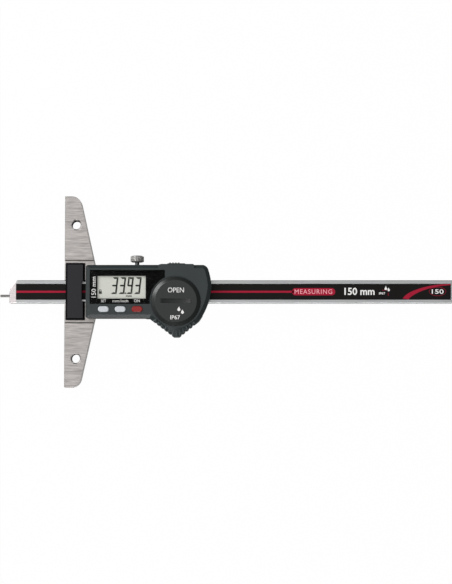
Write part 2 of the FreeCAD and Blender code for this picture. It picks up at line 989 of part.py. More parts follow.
def port_block():
    """The raised block on the housing's side that carries the data port."""
    inner = housing_port_side - 4.0
    foot = housing_port_side - 0.1
    corners = [
        (port_front, inner, 0, 0),
        (port_rear, inner, 0, 0),
        (port_rear, foot, 0, 0),
        (port_rear - port_rear_slope, port_face, 0, 0),
        (port_front + port_front_slope, port_face, 0, 0),
        (port_front, foot, 0, 0),
    ]
    body = plate(corners, (housing_bottom + 0.6, housing_top))
    outer = [e for e in edges_at_height(body, housing_top) if e.BoundBox.YMin > port_face - 0.3]
    return body.makeChamfer(port_edge, outer)


def port_opening(gap):
    half = port_opening_length / 2 - gap
    x_range = (port_middle - half, port_middle + half)
    base = port_opening_base + gap
    return x_range, (base, port_opening_base + port_opening_height - gap)


def cavity_block(z_range):
    """The room inside the housing, over the whole main board."""
    return box((cavity_front, cavity_rear), both_sides(cavity_half), z_range)


def housing():
    body = bevelled_plate(housing_outline(), (housing_bottom, housing_top), housing_bevel)
    skirt, hollow = grip_skirt()
    body = body.fuse(skirt).cut(hollow)
    body = body.cut(Part.makeCompound(grip_tooth_gaps()))
    body = body.fuse(port_block())
    body = body.removeSplitter()

    # Room for the bridge and the slide body, and for the parts on the boards
    over_bridge = box(
        (housing_front - overcut, slide_front + pocket_gap),
        (-housing_key_side - overcut, housing_port_side + overcut),
        (housing_bottom - overcut, slide_top),
    )
    slide_room = box(
        (slide_front, slide_rear + pocket_gap),
        both_sides(slide_half + pocket_gap),
        (housing_bottom - overcut, slide_top),
    )
    board_room = cavity_block((slide_top - overcut, roof_underside))
    display_room = box(
        (display_cavity_front, cavity_front + overcut),
        both_sides(cavity_half),
        (display_cavity_step, roof_underside),
    )
    room = board_room.fuse(display_room)
    well_outside = disc(well_radius, (battery_x, battery_y), (board_top + board_gap, roof_underside))
    port_back = box(
        (port_front, port_rear),
        (port_inside, housing_port_side),
        (slide_top, roof_underside + overcut),
    )
    room = room.cut(well_outside).cut(port_back)
    for place in housing_screw_places():
        room = room.cut(disc(boss_radius, place, (slide_top - overcut, roof_underside + overcut)))
    body = body.cut(over_bridge).cut(slide_room).cut(room)

    # Battery well, with the bore for the cover's threaded spigot and the recess round its flange
    centre = (battery_x, battery_y)
    below = disc(well_radius, centre, (slide_top - overcut, board_top + board_gap))
    inside = cavity_block((slide_top - overcut, board_top + board_gap))
    body = body.cut(below.common(inside))
    body = body.cut(disc(battery_well_radius, centre, (board_top + pocket_gap, well_floor + overcut)))
    body = body.cut(disc(bore_radius, centre, (well_floor, housing_top + overcut)))
    recess_radius = cover_radius + cover_recess_gap
    body = body.cut(disc(recess_radius, centre, (cover_seat, housing_top + overcut)))
    body = body.cut(clip_space(pocket_gap))

    # Lens recess and the window under it, and the holes for the buttons
    body = body.cut(lens_shape((gasket_underside, housing_top + overcut), pocket_gap))
    margin = view_margin
    view = box(
        (view_front - margin, view_rear + margin),
        (view_bottom_y - margin, view_top_y + margin),
        (roof_underside - overcut, housing_top),
    )
    body = body.cut(view)
    for place in button_places():
        hole = obround(
            place,
            button_length + 2 * button_gap,
            button_width + 2 * button_gap,
            (roof_underside - overcut, housing_top + overcut),
        )
        body = body.cut(hole)

    # Data port: a recess for the cover and an opening for the connector
    x_range, z_range = port_opening(0)
    body = body.cut(box(x_range, (port_floor, port_face + overcut), z_range))
    half = connector_length / 2 + pocket_gap
    connector_hole = box(
        (port_middle - half, port_middle + half),
        (port_inside - overcut, port_floor + overcut),
        (connector_base - pocket_gap, connector_base + connector_height + pocket_gap),
    )
    body = body.cut(connector_hole)

    # Screw holes, wiper pockets and the groove for the seal
    for place in housing_screw_places():
        grip = slide_top + housing_screw_grip + pocket_gap
        body = body.cut(disc(housing_screw_radius + thread_gap, place, (slide_top - overcut, grip)))
    for side in (-1, 1):
        body = body.cut(bridge_screw_hole(side))
    body = body.cut(wiper_block(wiper_front_x, slide_top, pocket_gap))
    body = body.cut(wiper_block(wiper_rear_x, housing_bottom, pocket_gap))
    body = body.cut(seal_ring(seal_height, seal_width + 2 * pocket_gap))
    return body.removeSplitter()


def seal_ring(height, width):
    """A flat ring on top of the slide body, under the walls of the housing."""
    middle = seal_inset + seal_width / 2
    outside_x = (slide_front + middle - width / 2, slide_rear - middle + width / 2)
    outside_y = slide_half - middle + width / 2
    outer = box(outside_x, both_sides(outside_y), (slide_top, slide_top + height))
    inner = box(
        (outside_x[0] + width, outside_x[1] - width),
        both_sides(outside_y - width),
        (slide_top - overcut, slide_top + height + overcut),
    )
    return outer.cut(inner)


def housing_seal():
    return seal_ring(seal_height - pocket_gap, seal_width)


def housing_screws():
    screws = []
    for place in housing_screw_places():
        head_bottom = back_plate_thickness
        head_top = head_bottom + housing_screw_head_height
        top = slide_top + housing_screw_grip
        profile = [
            (0, head_bottom),
            (housing_screw_head_radius, head_bottom),
            (housing_screw_head_radius, head_top),
            (housing_screw_radius, head_top),
            (housing_screw_radius, top),
            (0, top),
        ]
        screw = turned(profile, (place[0], place[1], 0), (0, 0, 1))
        slot = box(
            (place[0] - housing_screw_head_radius, place[0] + housing_screw_head_radius),
            (place[1] - 0.2, place[1] + 0.2),
            (head_bottom - overcut, head_bottom + housing_screw_head_height / 2),
        )
        screws.append(screw.cut(slot))
    return screws


def wiper_block(start, pocket_mouth, gap):
    """A felt wiper across the scale, or with a gap the pocket that holds it."""
    x_range = (start - gap, start + wiper_thickness + gap)
    half = wiper_width / 2 + gap
    base = rod_top + wiper_gap - (overcut if gap else 0)
    return box(x_range, both_sides(half), (base, pocket_mouth + wiper_pocket + gap))


def front_wiper():
    return wiper_block(wiper_front_x, slide_top, 0)


def rear_wiper():
    return wiper_block(wiper_rear_x, housing_bottom, 0)


# Display


def lens_shape(z_range, gap):
    """The lens's outline, which is bitten away round the battery cover, grown by a gap."""
    radius = lens_corner_radius
    corners = [
        (lens_front - gap, lens_bottom_y - gap, radius, 0),
        (lens_rear + gap, lens_bottom_y - gap, radius, 0),
        (lens_rear + gap, lens_top_y + gap, radius, 0),
        (lens_front - gap, lens_top_y + gap, radius, 0),
    ]
    bite = cover_radius + cover_recess_gap + lens_wall - gap
    body = plate(corners, z_range)
    return body.cut(disc(bite, (battery_x, battery_y), (z_range[0] - overcut, z_range[1] + overcut)))


def display_lens():
    return lens_shape((lens_underside, lens_underside + lens_thickness), 0)


def lens_gasket():
    frame = lens_shape((gasket_underside, lens_underside), 0)
    view = box(
        (view_front, view_rear),
        (view_bottom_y, view_top_y),
        (gasket_underside - overcut, lens_underside + overcut),
    )
    return frame.cut(view)


def glass_ranges(gap):
    x_range = (view_front - glass_margin_x - gap, view_rear + glass_margin_x + gap)
    return x_range, (view_bottom_y - glass_margin_y - gap, view_top_y + glass_margin_y + gap)


def lcd_panel():
    x_range, y_range = glass_ranges(0)
    return box(x_range, y_range, (glass_underside, glass_top))


def lcd_holder():
    x_range, y_range = glass_ranges(pocket_gap + holder_wall)
    base = glass_underside - holder_ledge
    body = box(x_range, y_range, (base, glass_top))
    inner_x, inner_y = glass_ranges(pocket_gap)
    body = body.cut(box(inner_x, inner_y, (glass_underside, glass_top + overcut)))
    ledge = holder_wall / 2
    x_hole = (inner_x[0] + ledge, inner_x[1] - ledge)
    y_hole = (inner_y[0] + ledge / 2, inner_y[1] - ledge / 2)
    body = body.cut(box(x_hole, y_hole, (base - overcut, glass_underside + overcut)))
    feet_x = (x_range[1] - holder_wall, x_range[1])
    low_foot = box(feet_x, (y_range[0], y_range[0] + holder_foot), (board_top, base))
    high_foot = box(feet_x, (y_range[1] - holder_foot, y_range[1]), (board_top, base))
    return body.fuse([low_foot, high_foot]).removeSplitter()


def zebra_strips():
    x_range, y_range = glass_ranges(0)
    x_range = (x_range[0] + zebra_trim, x_range[1] - zebra_trim)
    inset = 0.35
    strips = []
    for low in (y_range[0] + inset, y_range[1] - inset - zebra_width):
        strips.append(box(x_range, (low, low + zebra_width), (board_top, glass_underside)))
    return strips


# Circuit boards and what is on them


def main_board():
    gap = board_gap
    body = box(
        (cavity_front + gap, cavity_rear - gap),
        both_sides(cavity_half - gap),
        (slide_top, board_top),
    )
    port = box(
        (port_front - gap, port_rear + gap),
        (port_inside - gap, housing_port_side),
        (slide_top - overcut, board_top + overcut),
    )
    body = body.cut(port)
    for place in housing_screw_places():
        body = body.cut(disc(boss_radius + gap, place, (slide_top - overcut, board_top + overcut)))
    return body


def sensor_board():
    middle = (slide_front + slide_rear) / 2
    half = sensor_length / 2
    foil_top = rod_top - scale_groove_depth + strip_thickness + foil_thickness
    return box(
        (middle - half, middle + half), both_sides(sensor_width / 2), (foil_top + sensor_gap, slide_top)
    )


def processor_chip():
    half = chip_side / 2
    top = board_top + chip_height
    body = box((chip_x - half, chip_x + half), (chip_y - half, chip_y + half), (board_top, top))
    return body.makeChamfer(chip_bevel, edges_at_height(body, top))


def quartz_crystal():
    start = Vector(crystal_x, crystal_y, board_top + crystal_radius)
    return rod_along(crystal_radius, start, start + Vector(0, crystal_length, 0))


def board_capacitors():
    length, width, height = chip_part_length, chip_part_width, chip_part_height
    parts = []
    for i in range(chip_part_count):
        x = chip_x + chip_side / 2 + chip_part_length
        y = chip_y - chip_side / 2 + i * chip_part_pitch
        parts.append(box((x, x + length), (y, y + width), (board_top, board_top + height)))
    return parts


# Buttons and what lies under them


def button(place):
    """One button: the cap, its flange under the housing's wall, and the plunger below."""
    top = housing_top + button_rise
    flange_top = roof_underside - pocket_gap
    flange_bottom = flange_top - button_flange_thickness
    cap = obround(place, button_length, button_width, (flange_top - 0.2, top))
    cap = cap.makeChamfer(button_crown, edges_at_height(cap, top))
    flange = block_at(
        place,
        button_length / 2 + button_flange,
        button_width / 2 + button_flange,
        (flange_bottom, flange_top),
    )
    plunger_range = (keypad_top() + button_travel + keypad_room, flange_bottom + 0.2)
    plunger = block_at(place, plunger_half, plunger_half, plunger_range)
    return cap.fuse([flange, plunger]).removeSplitter()


def dome_switches():
    """Three sprung metal discs with cut corners, each standing on its edge flats."""
    domes = []
    for place in button_places():
        low = dome_flats(dome_radius, place, board_top)
        middle = dome_flats(0.8 * dome_radius, place, board_top + 0.7 * dome_height)
        high = dome_flats(0.4 * dome_radius, place, board_top + dome_height)
        domes.append(Part.makeLoft([low, middle, high], True, True))
    return domes


def dome_flats(radius, centre, height):
    """An eight-sided wire at one height."""
    angles = [math.pi * (i + 0.5) / 4 for i in range(8)]
    points = [
        Vector(centre[0] + radius * math.cos(a), centre[1] + radius * math.sin(a), height) for a in angles
    ]
    return Part.makePolygon(points + [points[0]])


def keypad_top():
    return board_top + dome_height + keypad_room + keypad_thickness


def keypad_seal():
    """A silicone tray turned upside down over the three dome switches."""
    reach = button_pitch + dome_radius + keypad_wall + 0.1
    x_range = (button_x - reach, button_x + reach)
    half = keypad_width / 2
    y_range = (button_y - half, button_y + half)
    body = box(x_range, y_range, (board_top, keypad_top()))
    inside = box(
        (x_range[0] + keypad_wall, x_range[1] - keypad_wall),
        (y_range[0] + keypad_wall, y_range[1] - keypad_wall),
        (board_top - overcut, keypad_top() - keypad_thickness),
    )
    return body.cut(inside)


# Battery, its contacts and its cover


def battery():
    radius = battery_diameter / 2
    rim = battery_rim
    profile = [
        (0, 0),
        (radius - battery_cup_inset, 0),
        (radius - battery_cup_inset, rim),
        (radius, rim),
        (radius, battery_height - rim),
        (radius - rim, battery_height),
        (0, battery_height),
    ]
    return turned(profile, (battery_x, battery_y, battery_bottom), (0, 0, 1))


def contact_leaf():
    """The sprung strip on the board that touches the underside of the cell."""
    t = leaf_thickness
    top = battery_bottom - contact_gap
    start = battery_x - leaf_reach
    shape = [
        (start - leaf_foot, board_top),
        (start, board_top),
        (battery_x, top - t),
        (battery_x + leaf_foot, top - t),
        (battery_x + leaf_foot, top),
        (battery_x - t, top),
        (start - t / 2, board_top + t),
        (start - leaf_foot, board_top + t),
    ]
    points = [Vector(x, battery_y - leaf_width / 2, z) for x, z in shape]
    face = Part.Face(Part.makePolygon(points + [points[0]]))
    return face.extrude(Vector(0, leaf_width, 0))


def clip_block(radial, z_range, half_width):
    """A block at the cell's edge, at the angle of the side contact."""
    block = box(radial, both_sides(half_width), z_range)
    block.rotate(Vector(0, 0, 0), Vector(0, 0, 1), clip_angle)
    block.translate(Vector(battery_x, battery_y, 0))
    return block


def clip_space(gap):
    inner = battery_diameter / 2
    radial = (inner, inner + leaf_thickness + 2 * gap + contact_gap)
    return clip_block(radial, (board_top, well_floor), clip_width / 2 + gap)


def contact_clip():
    """The upright strip that touches the side of the cell."""
    inner = battery_diameter / 2 + contact_gap
    top = spigot_bottom - battery_rim
    upright = clip_block((inner, inner + leaf_thickness), (board_top, top), clip_width / 2)
    foot = clip_block(
        (inner - clip_foot, inner + leaf_thickness), (board_top, board_top + leaf_thickness), clip_width / 2
    )
    return upright.fuse(foot).removeSplitter()


def battery_cover():
    """The screwed cover: a bevelled cap with a coin slot, over a spigot that holds the O-ring."""
    section = o_ring_section + 2 * o_ring_gap
    groove_top = cover_underside - o_ring_drop / 2
    groove_floor = cover_spigot_radius - o_ring_section
    profile = [
        (0, cover_top - cover_skin),
        (cover_cup_radius, cover_top - cover_skin),
        (cover_cup_radius, spigot_bottom),
        (cover_spigot_radius, spigot_bottom),
        (cover_spigot_radius, groove_top - section),
        (groove_floor, groove_top - section),
        (groove_floor, groove_top),
        (cover_spigot_radius, groove_top),
        (cover_spigot_radius, cover_underside),
        (cover_radius, cover_underside),
        (cover_radius, cover_top - cover_bevel_height),
        (cover_radius - cover_bevel, cover_top),
        (0, cover_top),
    ]
    body = turned(profile, (battery_x, battery_y, 0), (0, 0, 1))
    return body.cut(coin_slot())


def coin_slot():
    """A slot with a curved floor, as a coin's edge fits it."""
    half = coin_slot_length / 2
    radius = (half * half + coin_slot_depth * coin_slot_depth) / (2 * coin_slot_depth)
    y_low = battery_y - coin_slot_width / 2
    centre = Vector(battery_x, y_low, cover_top - coin_slot_depth + radius)
    return rod_along(radius, centre, centre + Vector(0, coin_slot_width, 0))


def cover_seal():
    """The O-ring on the cover's spigot."""
    ring_radius = cover_spigot_radius - o_ring_section / 2 + o_ring_gap
    height = cover_underside - o_ring_drop / 2 - o_ring_section / 2 - o_ring_gap
    profile = []
    for i in range(o_ring_flats):
        angle = 2 * math.pi * (i + 0.5) / o_ring_flats
        reach = o_ring_section / 2
        profile.append((ring_radius + reach * math.cos(angle), reach * math.sin(angle)))
    return turned(profile, (battery_x, battery_y, height), (0, 0, 1))


# Data port


def data_port_cover():
    x_range, z_range = port_opening(pocket_gap)
    outer = port_face
    body = box(x_range, (outer - port_cover_thickness, outer), z_range)
    half = port_pad_length / 2
    pad = box(
        (port_middle - half, port_middle + half),
        (outer - 0.2, outer + port_pad_rise),
        (z_range[0] + 0.3, z_range[1] - 0.3),
    )
    body = body.fuse(pad)
    for i in range(port_rib_count):
        x = port_middle + (i - (port_rib_count - 1) / 2) * port_rib_pitch
        groove = box(
            (x - port_rib_gap / 2, x + port_rib_gap / 2),
            (outer, outer + port_pad_rise + overcut),
            (z_range[0] - overcut, z_range[1] + overcut),
        )
        body = body.cut(groove)
    return body.removeSplitter()


def connector_front():
    return port_floor + connector_reach


def data_connector():
    half = connector_length / 2
    x_range = (port_middle - half, port_middle + half)
    nose_block = box(
        x_range,
        (connector_foot_end, connector_front()),
        (connector_base, connector_base + connector_height),
    )
    foot_range = (connector_foot_end, connector_foot_end + connector_foot)
    foot = box(x_range, foot_range, (board_top, connector_base + 0.2))
    return nose_block.fuse(foot).removeSplitter()


def data_contacts():
    pads = []
    for i in range(contact_count):
        x = port_middle + (i - (contact_count - 1) / 2) * contact_pitch
        y = connector_front()
        pad = box(
            (x - contact_width / 2, x + contact_width / 2),
            (y, y + contact_thickness),
            (connector_base + 0.3, connector_base + connector_height - 0.3),
        )
        pads.append(pad)
    return pads


def parts():
    """Every piece, by name. A list is a group of like pieces."""
    left, middle, right = button_places()
    return {
        "depth_rod": depth_rod(),
        "scale_strip": scale_strip(),
        "scale_foil": scale_foil(),
        "measuring_pin": measuring_pin(),
        "rod_stop_screw": rod_stop_screw(),
        "bridge": bridge(),
        "guide_plate": guide_plate(),
        "guide_plate_screws": guide_plate_screws(),
        "bridge_screws": bridge_screws(),
        "slide_body": slide_body(),
        "back_plate": back_plate(),
        "back_plate_screws": back_plate_screws(),
        "gib": gib(),
        "gib_set_screws": gib_set_screws(),
        "clamp_shoe": clamp_shoe(),
        "lock_screw": lock_screw(),
        "housing": housing(),
        "housing_seal": housing_seal(),
        "housing_screws": housing_screws(),
        "front_wiper": front_wiper(),
        "rear_wiper": rear_wiper(),
        "display_lens": display_lens(),
        "lens_gasket": lens_gasket(),
        "lcd_panel": lcd_panel(),
        "lcd_holder": lcd_holder(),
        "zebra_strips": zebra_strips(),
        "main_board": main_board(),
        "sensor_board": sensor_board(),
        "processor_chip": processor_chip(),
        "quartz_crystal": quartz_crystal(),
        "board_capacitors": board_capacitors(),
        "set_button": button(left),
        "unit_button": button(middle),
        "on_button": button(right),
        "dome_switches": dome_switches(),
        "keypad_seal": keypad_seal(),
        "battery": battery(),
        "contact_leaf": contact_leaf(),
        "contact_clip": contact_clip(),
        "battery_cover": battery_cover(),
        "cover_seal": cover_seal(),
        "data_port_cover": data_port_cover(),
        "data_connector": data_connector(),
        "data_contacts": data_contacts(),
    }


def main():
    os.makedirs("parts", exist_ok=True)
    for name, shape in parts().items():
        if isinstance(shape, list):
            shape = Part.makeCompound(shape)
        shape.exportStep(os.path.join("parts", name + ".step"))


main()
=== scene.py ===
"""Looks of the digital depth caliper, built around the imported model.

Metres. X runs along the depth rod, Y along the bridge and Z up out of the display, as in the model.
The sections follow the instrument as it is put together: slide, bridge, rod, electronics, housing, trim.
"""

import math

import bmesh
import bpy
from mathutils import Matrix, Vector


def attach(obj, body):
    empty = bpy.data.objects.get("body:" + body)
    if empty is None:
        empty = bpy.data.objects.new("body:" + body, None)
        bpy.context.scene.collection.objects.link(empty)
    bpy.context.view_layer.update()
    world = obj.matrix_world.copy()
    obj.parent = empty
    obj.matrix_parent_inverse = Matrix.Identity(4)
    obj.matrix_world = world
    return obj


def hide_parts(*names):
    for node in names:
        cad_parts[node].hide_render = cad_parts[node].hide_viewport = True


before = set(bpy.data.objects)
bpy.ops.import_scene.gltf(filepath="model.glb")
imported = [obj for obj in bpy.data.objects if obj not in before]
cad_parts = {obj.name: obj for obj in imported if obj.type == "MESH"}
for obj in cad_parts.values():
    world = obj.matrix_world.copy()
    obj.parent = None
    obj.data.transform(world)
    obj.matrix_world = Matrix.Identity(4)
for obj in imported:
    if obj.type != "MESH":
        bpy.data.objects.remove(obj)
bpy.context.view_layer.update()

MM = 0.001


# Slide body and back plate
# Two blocks of ground and hardened steel, milled for the rod and the circuit boards. The plate closes the
# slide from the back and is held by four screws. Their edges are broken with a stone.


def seen(red, green, blue):
    """A colour given as a screen shows it, 0 to 255, turned into the linear one that a shader takes."""
    shares = [c / 255 for c in (red, green, blue)]
    return [c / 12.92 if c < 0.04045 else ((c + 0.055) / 1.055) ** 2.4 for c in shares] + [1.0]


class Surface:
    """A material and the wiring of its nodes."""

    def __init__(self, name, colour, roughness, metallic=0.0, specular=0.5):
        self.material = bpy.data.materials.new(name)
        self.material.use_nodes = True
        self.tree = self.material.node_tree
        self.shader = self.tree.nodes["Principled BSDF"]
        self.colour = colour
        self.shader.inputs["Base Color"].default_value = colour
        self.shader.inputs["Roughness"].default_value = roughness
        self.shader.inputs["Metallic"].default_value = metallic
        self.shader.inputs["Specular IOR Level"].default_value = specular
        self.roughness = roughness

    def node(self, kind, **settings):
        made = self.tree.nodes.new("ShaderNode" + kind)
        for key, value in settings.items():
            setattr(made, key, value)
        return made

    def join(self, source, target):
        self.tree.links.new(source, target)

    def place(self, scale, turn=(0, 0, 0)):
        """Object coordinates in cycles to the metre, as a socket."""
        where = self.node("TexCoord")
        mapping = self.node("Mapping")
        mapping.inputs["Scale"].default_value = scale
        mapping.inputs["Rotation"].default_value = turn
        self.join(where.outputs["Object"], mapping.inputs["Vector"])
        return mapping.outputs["Vector"]

    def noise(self, scale, detail=3.0, turn=(0, 0, 0)):
        """Noise with its own fineness along each axis, as a socket from 0 to 1."""
        made = self.node("TexNoise")
        made.inputs["Scale"].default_value = 1.0
        made.inputs["Detail"].default_value = detail
        self.join(self.place(scale, turn), made.inputs["Vector"])
        return made.outputs["Fac"]

    def ranged(self, value, low, high, start=0.3, end=0.7):
        """A value from start to end spread over low to high."""
        made = self.node("MapRange")
        made.inputs["From Min"].default_value = start
        made.inputs["From Max"].default_value = end
        made.inputs["To Min"].default_value = low
        made.inputs["To Max"].default_value = high
        self.join(value, made.inputs["Value"])
        return made.outputs["Result"]

    def tint(self, share, other):
        """Blends the colour so far with another one, by a share."""
        mix = self.node("Mix", data_type="RGBA")
        self.join(share, mix.inputs["Factor"])
        mix.inputs["B"].default_value = other
        target = self.shader.inputs["Base Color"]
        if target.is_linked:
            self.join(target.links[0].from_socket, mix.inputs["A"])
        else:
            mix.inputs["A"].default_value = self.colour
        self.join(mix.outputs["Result"], target)

    def vary(self, value, depth):
        """Makes the surface lighter and darker by a share of its colour."""
        darker = [c * (1 - depth) for c in self.colour[:3]] + [1]
        lighter = [min(1, c * (1 + depth)) for c in self.colour[:3]] + [1]
        if not self.shader.inputs["Base Color"].is_linked:
            mix = self.node("Mix", data_type="RGBA")
            mix.inputs["A"].default_value = darker
            mix.inputs["B"].default_value = lighter
            self.join(self.ranged(value, 0, 1), mix.inputs["Factor"])
            self.join(mix.outputs["Result"], self.shader.inputs["Base Color"])

    def rough(self, value, depth):
        """Varies the roughness round its middle value."""
        self.join(self.ranged(value, self.roughness - depth, self.roughness + depth), self.shader.inputs["Roughness"])

    def bump(self, value, depth_mm):
        """Raises the surface by a pattern, one on top of another."""
        made = self.node("Bump")
        made.inputs["Distance"].default_value = depth_mm * MM
        self.join(value, made.inputs["Height"])
        target = self.shader.inputs["Normal"]
        if target.is_linked:
            self.join(target.links[0].from_socket, made.inputs["Normal"])
        self.join(made.outputs["Normal"], target)

    def wear_and_edge_highlight(self, width_mm, other, amount):
        """Paints the edges, as wear and as a painted highlight: where a rounded normal leaves the flat one, the
        surface takes another colour.
        """
        soft = self.node("Bevel", samples=4)
        soft.inputs["Radius"].default_value = width_mm * MM
        flat = self.node("NewGeometry")
        match = self.node("VectorMath", operation="DOT_PRODUCT")
        self.join(soft.outputs["Normal"], match.inputs[0])
        self.join(flat.outputs["Normal"], match.inputs[1])
        edge = self.ranged(match.outputs["Value"], amount, 0, 0.86, 0.998)
        patchy = self.node("Math", operation="MULTIPLY")
        self.join(edge, patchy.inputs[0])
        self.join(self.ranged(self.noise((900, 900, 900), 4), 0.35, 1), patchy.inputs[1])
        self.tint(patchy.outputs["Value"], other)


def ground_metal(name, colour, roughness, along="X", spread=0.10, depth_mm=0.004, long=60, fine_share=0.45):
    """Metal with the fine scratches that grinding leaves along one axis."""
    surface = Surface(name, colour, roughness, metallic=1.0)
    fine = 2600
    scale = {"X": (long, fine, fine), "Y": (fine, long, fine), "Z": (fine, fine, long)}[along]
    streaks = surface.noise(scale, 5)
    broad = surface.noise([s * 0.28 for s in scale], 3)
    both = surface.node("Math", operation="MULTIPLY_ADD")
    both.inputs[1].default_value = 1 - fine_share
    surface.join(broad, both.inputs[0])
    half = surface.node("Math", operation="MULTIPLY")
    half.inputs[1].default_value = fine_share
    surface.join(streaks, half.inputs[0])
    surface.join(half.outputs["Value"], both.inputs[2])
    surface.vary(both.outputs["Value"], spread)
    surface.rough(streaks, 0.08)
    surface.bump(streaks, depth_mm)
    return surface.material


def whole_copy(node):
    """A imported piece's mesh with its loose triangles joined up and its flat faces made whole."""
    mesh = bmesh.new()
    mesh.from_mesh(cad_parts[node].data)
    bmesh.ops.remove_doubles(mesh, verts=mesh.verts, dist=2e-6)
    bmesh.ops.dissolve_limit(mesh, angle_limit=math.radians(0.2), verts=mesh.verts, edges=mesh.edges)
    return mesh


def settled(piece, edge_mm, sharp=32.0, segments=2):
    """Softens a piece's sharp edges with a small bevel and shades it evenly. The result is a plain mesh."""
    bevel = piece.modifiers.new("edge", "BEVEL")
    bevel.width = edge_mm * MM
    bevel.segments = segments
    bevel.limit_method = "ANGLE"
    bevel.angle_limit = math.radians(sharp)
    bevel.use_clamp_overlap = True
    bevel.miter_outer = "MITER_ARC"
    even = piece.modifiers.new("even", "WEIGHTED_NORMAL")
    even.keep_sharp = True
    bpy.context.view_layer.update()
    made = bpy.data.meshes.new_from_object(piece.evaluated_get(bpy.context.evaluated_depsgraph_get()))
    piece.modifiers.clear()
    piece.data = made
    return piece


def object_from(mesh, name, material, sharp=32.0):
    """Puts a bmesh into the scene as a smooth object with sharp edges kept, at the origin."""
    data = bpy.data.meshes.new(name)
    mesh.to_mesh(data)
    mesh.free()
    data.materials.clear()
    data.materials.append(material)
    for face in data.polygons:
        face.use_smooth = True
        face.material_index = 0
    data.set_sharp_from_angle(angle=math.radians(sharp))
    piece = bpy.data.objects.new(name, data)
    bpy.context.scene.collection.objects.link(piece)
    return piece


def stand_in(node, name, material, edge_mm, body, sharp=32.0, segments=2):
    """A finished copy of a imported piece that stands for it."""
    piece = object_from(whole_copy(node), name, material, sharp)
    settled(piece, edge_mm, sharp, segments)
    piece.data.materials.clear()
    piece.data.materials.append(material)
    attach(piece, body)
    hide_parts(node)
    return piece


def dress(node, material):
    """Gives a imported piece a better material."""
    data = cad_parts[node].data
    data.materials.clear()
    data.materials.append(material)


slide_steel = ground_metal("slide steel, ground along the rod", seen(170, 167, 164), 0.36)
stand_in("slide_body", "slide_block", slide_steel, 0.12, "instrument")
stand_in("back_plate", "back_cover_plate", slide_steel, 0.08, "instrument")


# Back plate's screws
# Four slotted countersunk screws of zinc-plated steel, turned, with a ring left by the turning tool on each
# head. They are set flush in the plate from the back.

back_screw_columns_mm = (20.8, 61.9)
back_screw_row_mm = 10.4
back_screw_head_mm = 3.8
back_screw_shank_mm = 2.0
back_screw_length_mm = 3.2
back_screw_slot_mm = 0.48

screw_metal = Surface("screw steel, turned and zinc plated", seen(168, 168, 172), 0.32, metallic=1.0)
screw_rings = screw_metal.noise((1400, 1400, 1400), 4)
screw_metal.vary(screw_rings, 0.12)
screw_metal.rough(screw_rings, 0.08)
screw_metal.bump(screw_rings, 0.006)
# The heads' edges are painted lighter, as wear and as a painted highlight.
screw_metal.wear_and_edge_highlight(0.25, seen(205, 205, 208), 0.6)
screw_steel = screw_metal.material


class Growth:
    """A Geometry Nodes tree in the making, with named inputs for its sizes."""

    def __init__(self, name):
        self.tree = bpy.data.node_groups.new(name, "GeometryNodeTree")
        self.sockets = {}
        self.tree.interface.new_socket("Geometry", in_out="OUTPUT", socket_type="NodeSocketGeometry")
        self.inputs = self.tree.nodes.new("NodeGroupInput")
        self.output = self.tree.nodes.new("NodeGroupOutput")

    def size(self, label, value, kind="NodeSocketFloat"):
        """A named input; the value goes on the modifier later."""
        made = self.tree.interface.new_socket(label, in_out="INPUT", socket_type=kind)
        self.sockets[label] = (made.identifier, value)
        return self.inputs.outputs[label]

    def node(self, kind, **settings):
        made = self.tree.nodes.new(kind)
        for key, value in settings.items():
            setattr(made, key, value)
        return made

    def join(self, source, target):
        self.tree.links.new(source, target)

    def math(self, operation, first, second):
        """Arithmetic on sockets or numbers."""
        made = self.node("ShaderNodeMath", operation=operation)
        for socket, value in zip(made.inputs, (first, second)):
            if isinstance(value, (int, float)):
                socket.default_value = value
            else:
                self.join(value, socket)
        return made.outputs["Value"]

    def vector(self, x=0.0, y=0.0, z=0.0):
        made = self.node("ShaderNodeCombineXYZ")
        for socket, value in zip(made.inputs, (x, y, z)):
            if isinstance(value, (int, float)):
                socket.default_value = value
            else:
                self.join(value, socket)
        return made.outputs["Vector"]

    def block(self, size, x, y, z):
        """A block at a place."""
        made = self.node("GeometryNodeMeshCube")
        self.join(self.vector(*size), made.inputs["Size"])
        move = self.node("GeometryNodeTransform")
        self.join(made.outputs["Mesh"], move.inputs["Geometry"])
        self.join(self.vector(x, y, z), move.inputs["Translation"])
        return move.outputs["Geometry"]

    def grown(self, geometry, name, material, edge_mm=0.0, sharp=32.0):
        """Ends the tree, runs it, and returns its result as a plain object."""
        real = self.node("GeometryNodeRealizeInstances")
        coat = self.node("GeometryNodeSetMaterial")
        coat.inputs["Material"].default_value = material
        self.join(geometry, real.inputs["Geometry"])
        self.join(real.outputs["Geometry"], coat.inputs["Geometry"])
        self.join(coat.outputs["Geometry"], self.output.inputs["Geometry"])
        piece = bpy.data.objects.new(name, bpy.data.meshes.new(name))
        bpy.context.scene.collection.objects.link(piece)
        modifier = piece.modifiers.new("growth", "NODES")
        modifier.node_group = self.tree
        for identifier, value in self.sockets.values():
            modifier[identifier] = value
        bpy.context.view_layer.update()
        made = bpy.data.meshes.new_from_object(piece.evaluated_get(bpy.context.evaluated_depsgraph_get()))
        piece.modifiers.clear()
        mesh = bmesh.new()
        mesh.from_mesh(made)
        bmesh.ops.remove_doubles(mesh, verts=mesh.verts, dist=1e-7)
        bmesh.ops.recalc_face_normals(mesh, faces=mesh.faces)
        bpy.data.objects.remove(piece)
        piece = object_from(mesh, name, material, sharp)
        if edge_mm:
            settled(piece, edge_mm, sharp)
        return piece


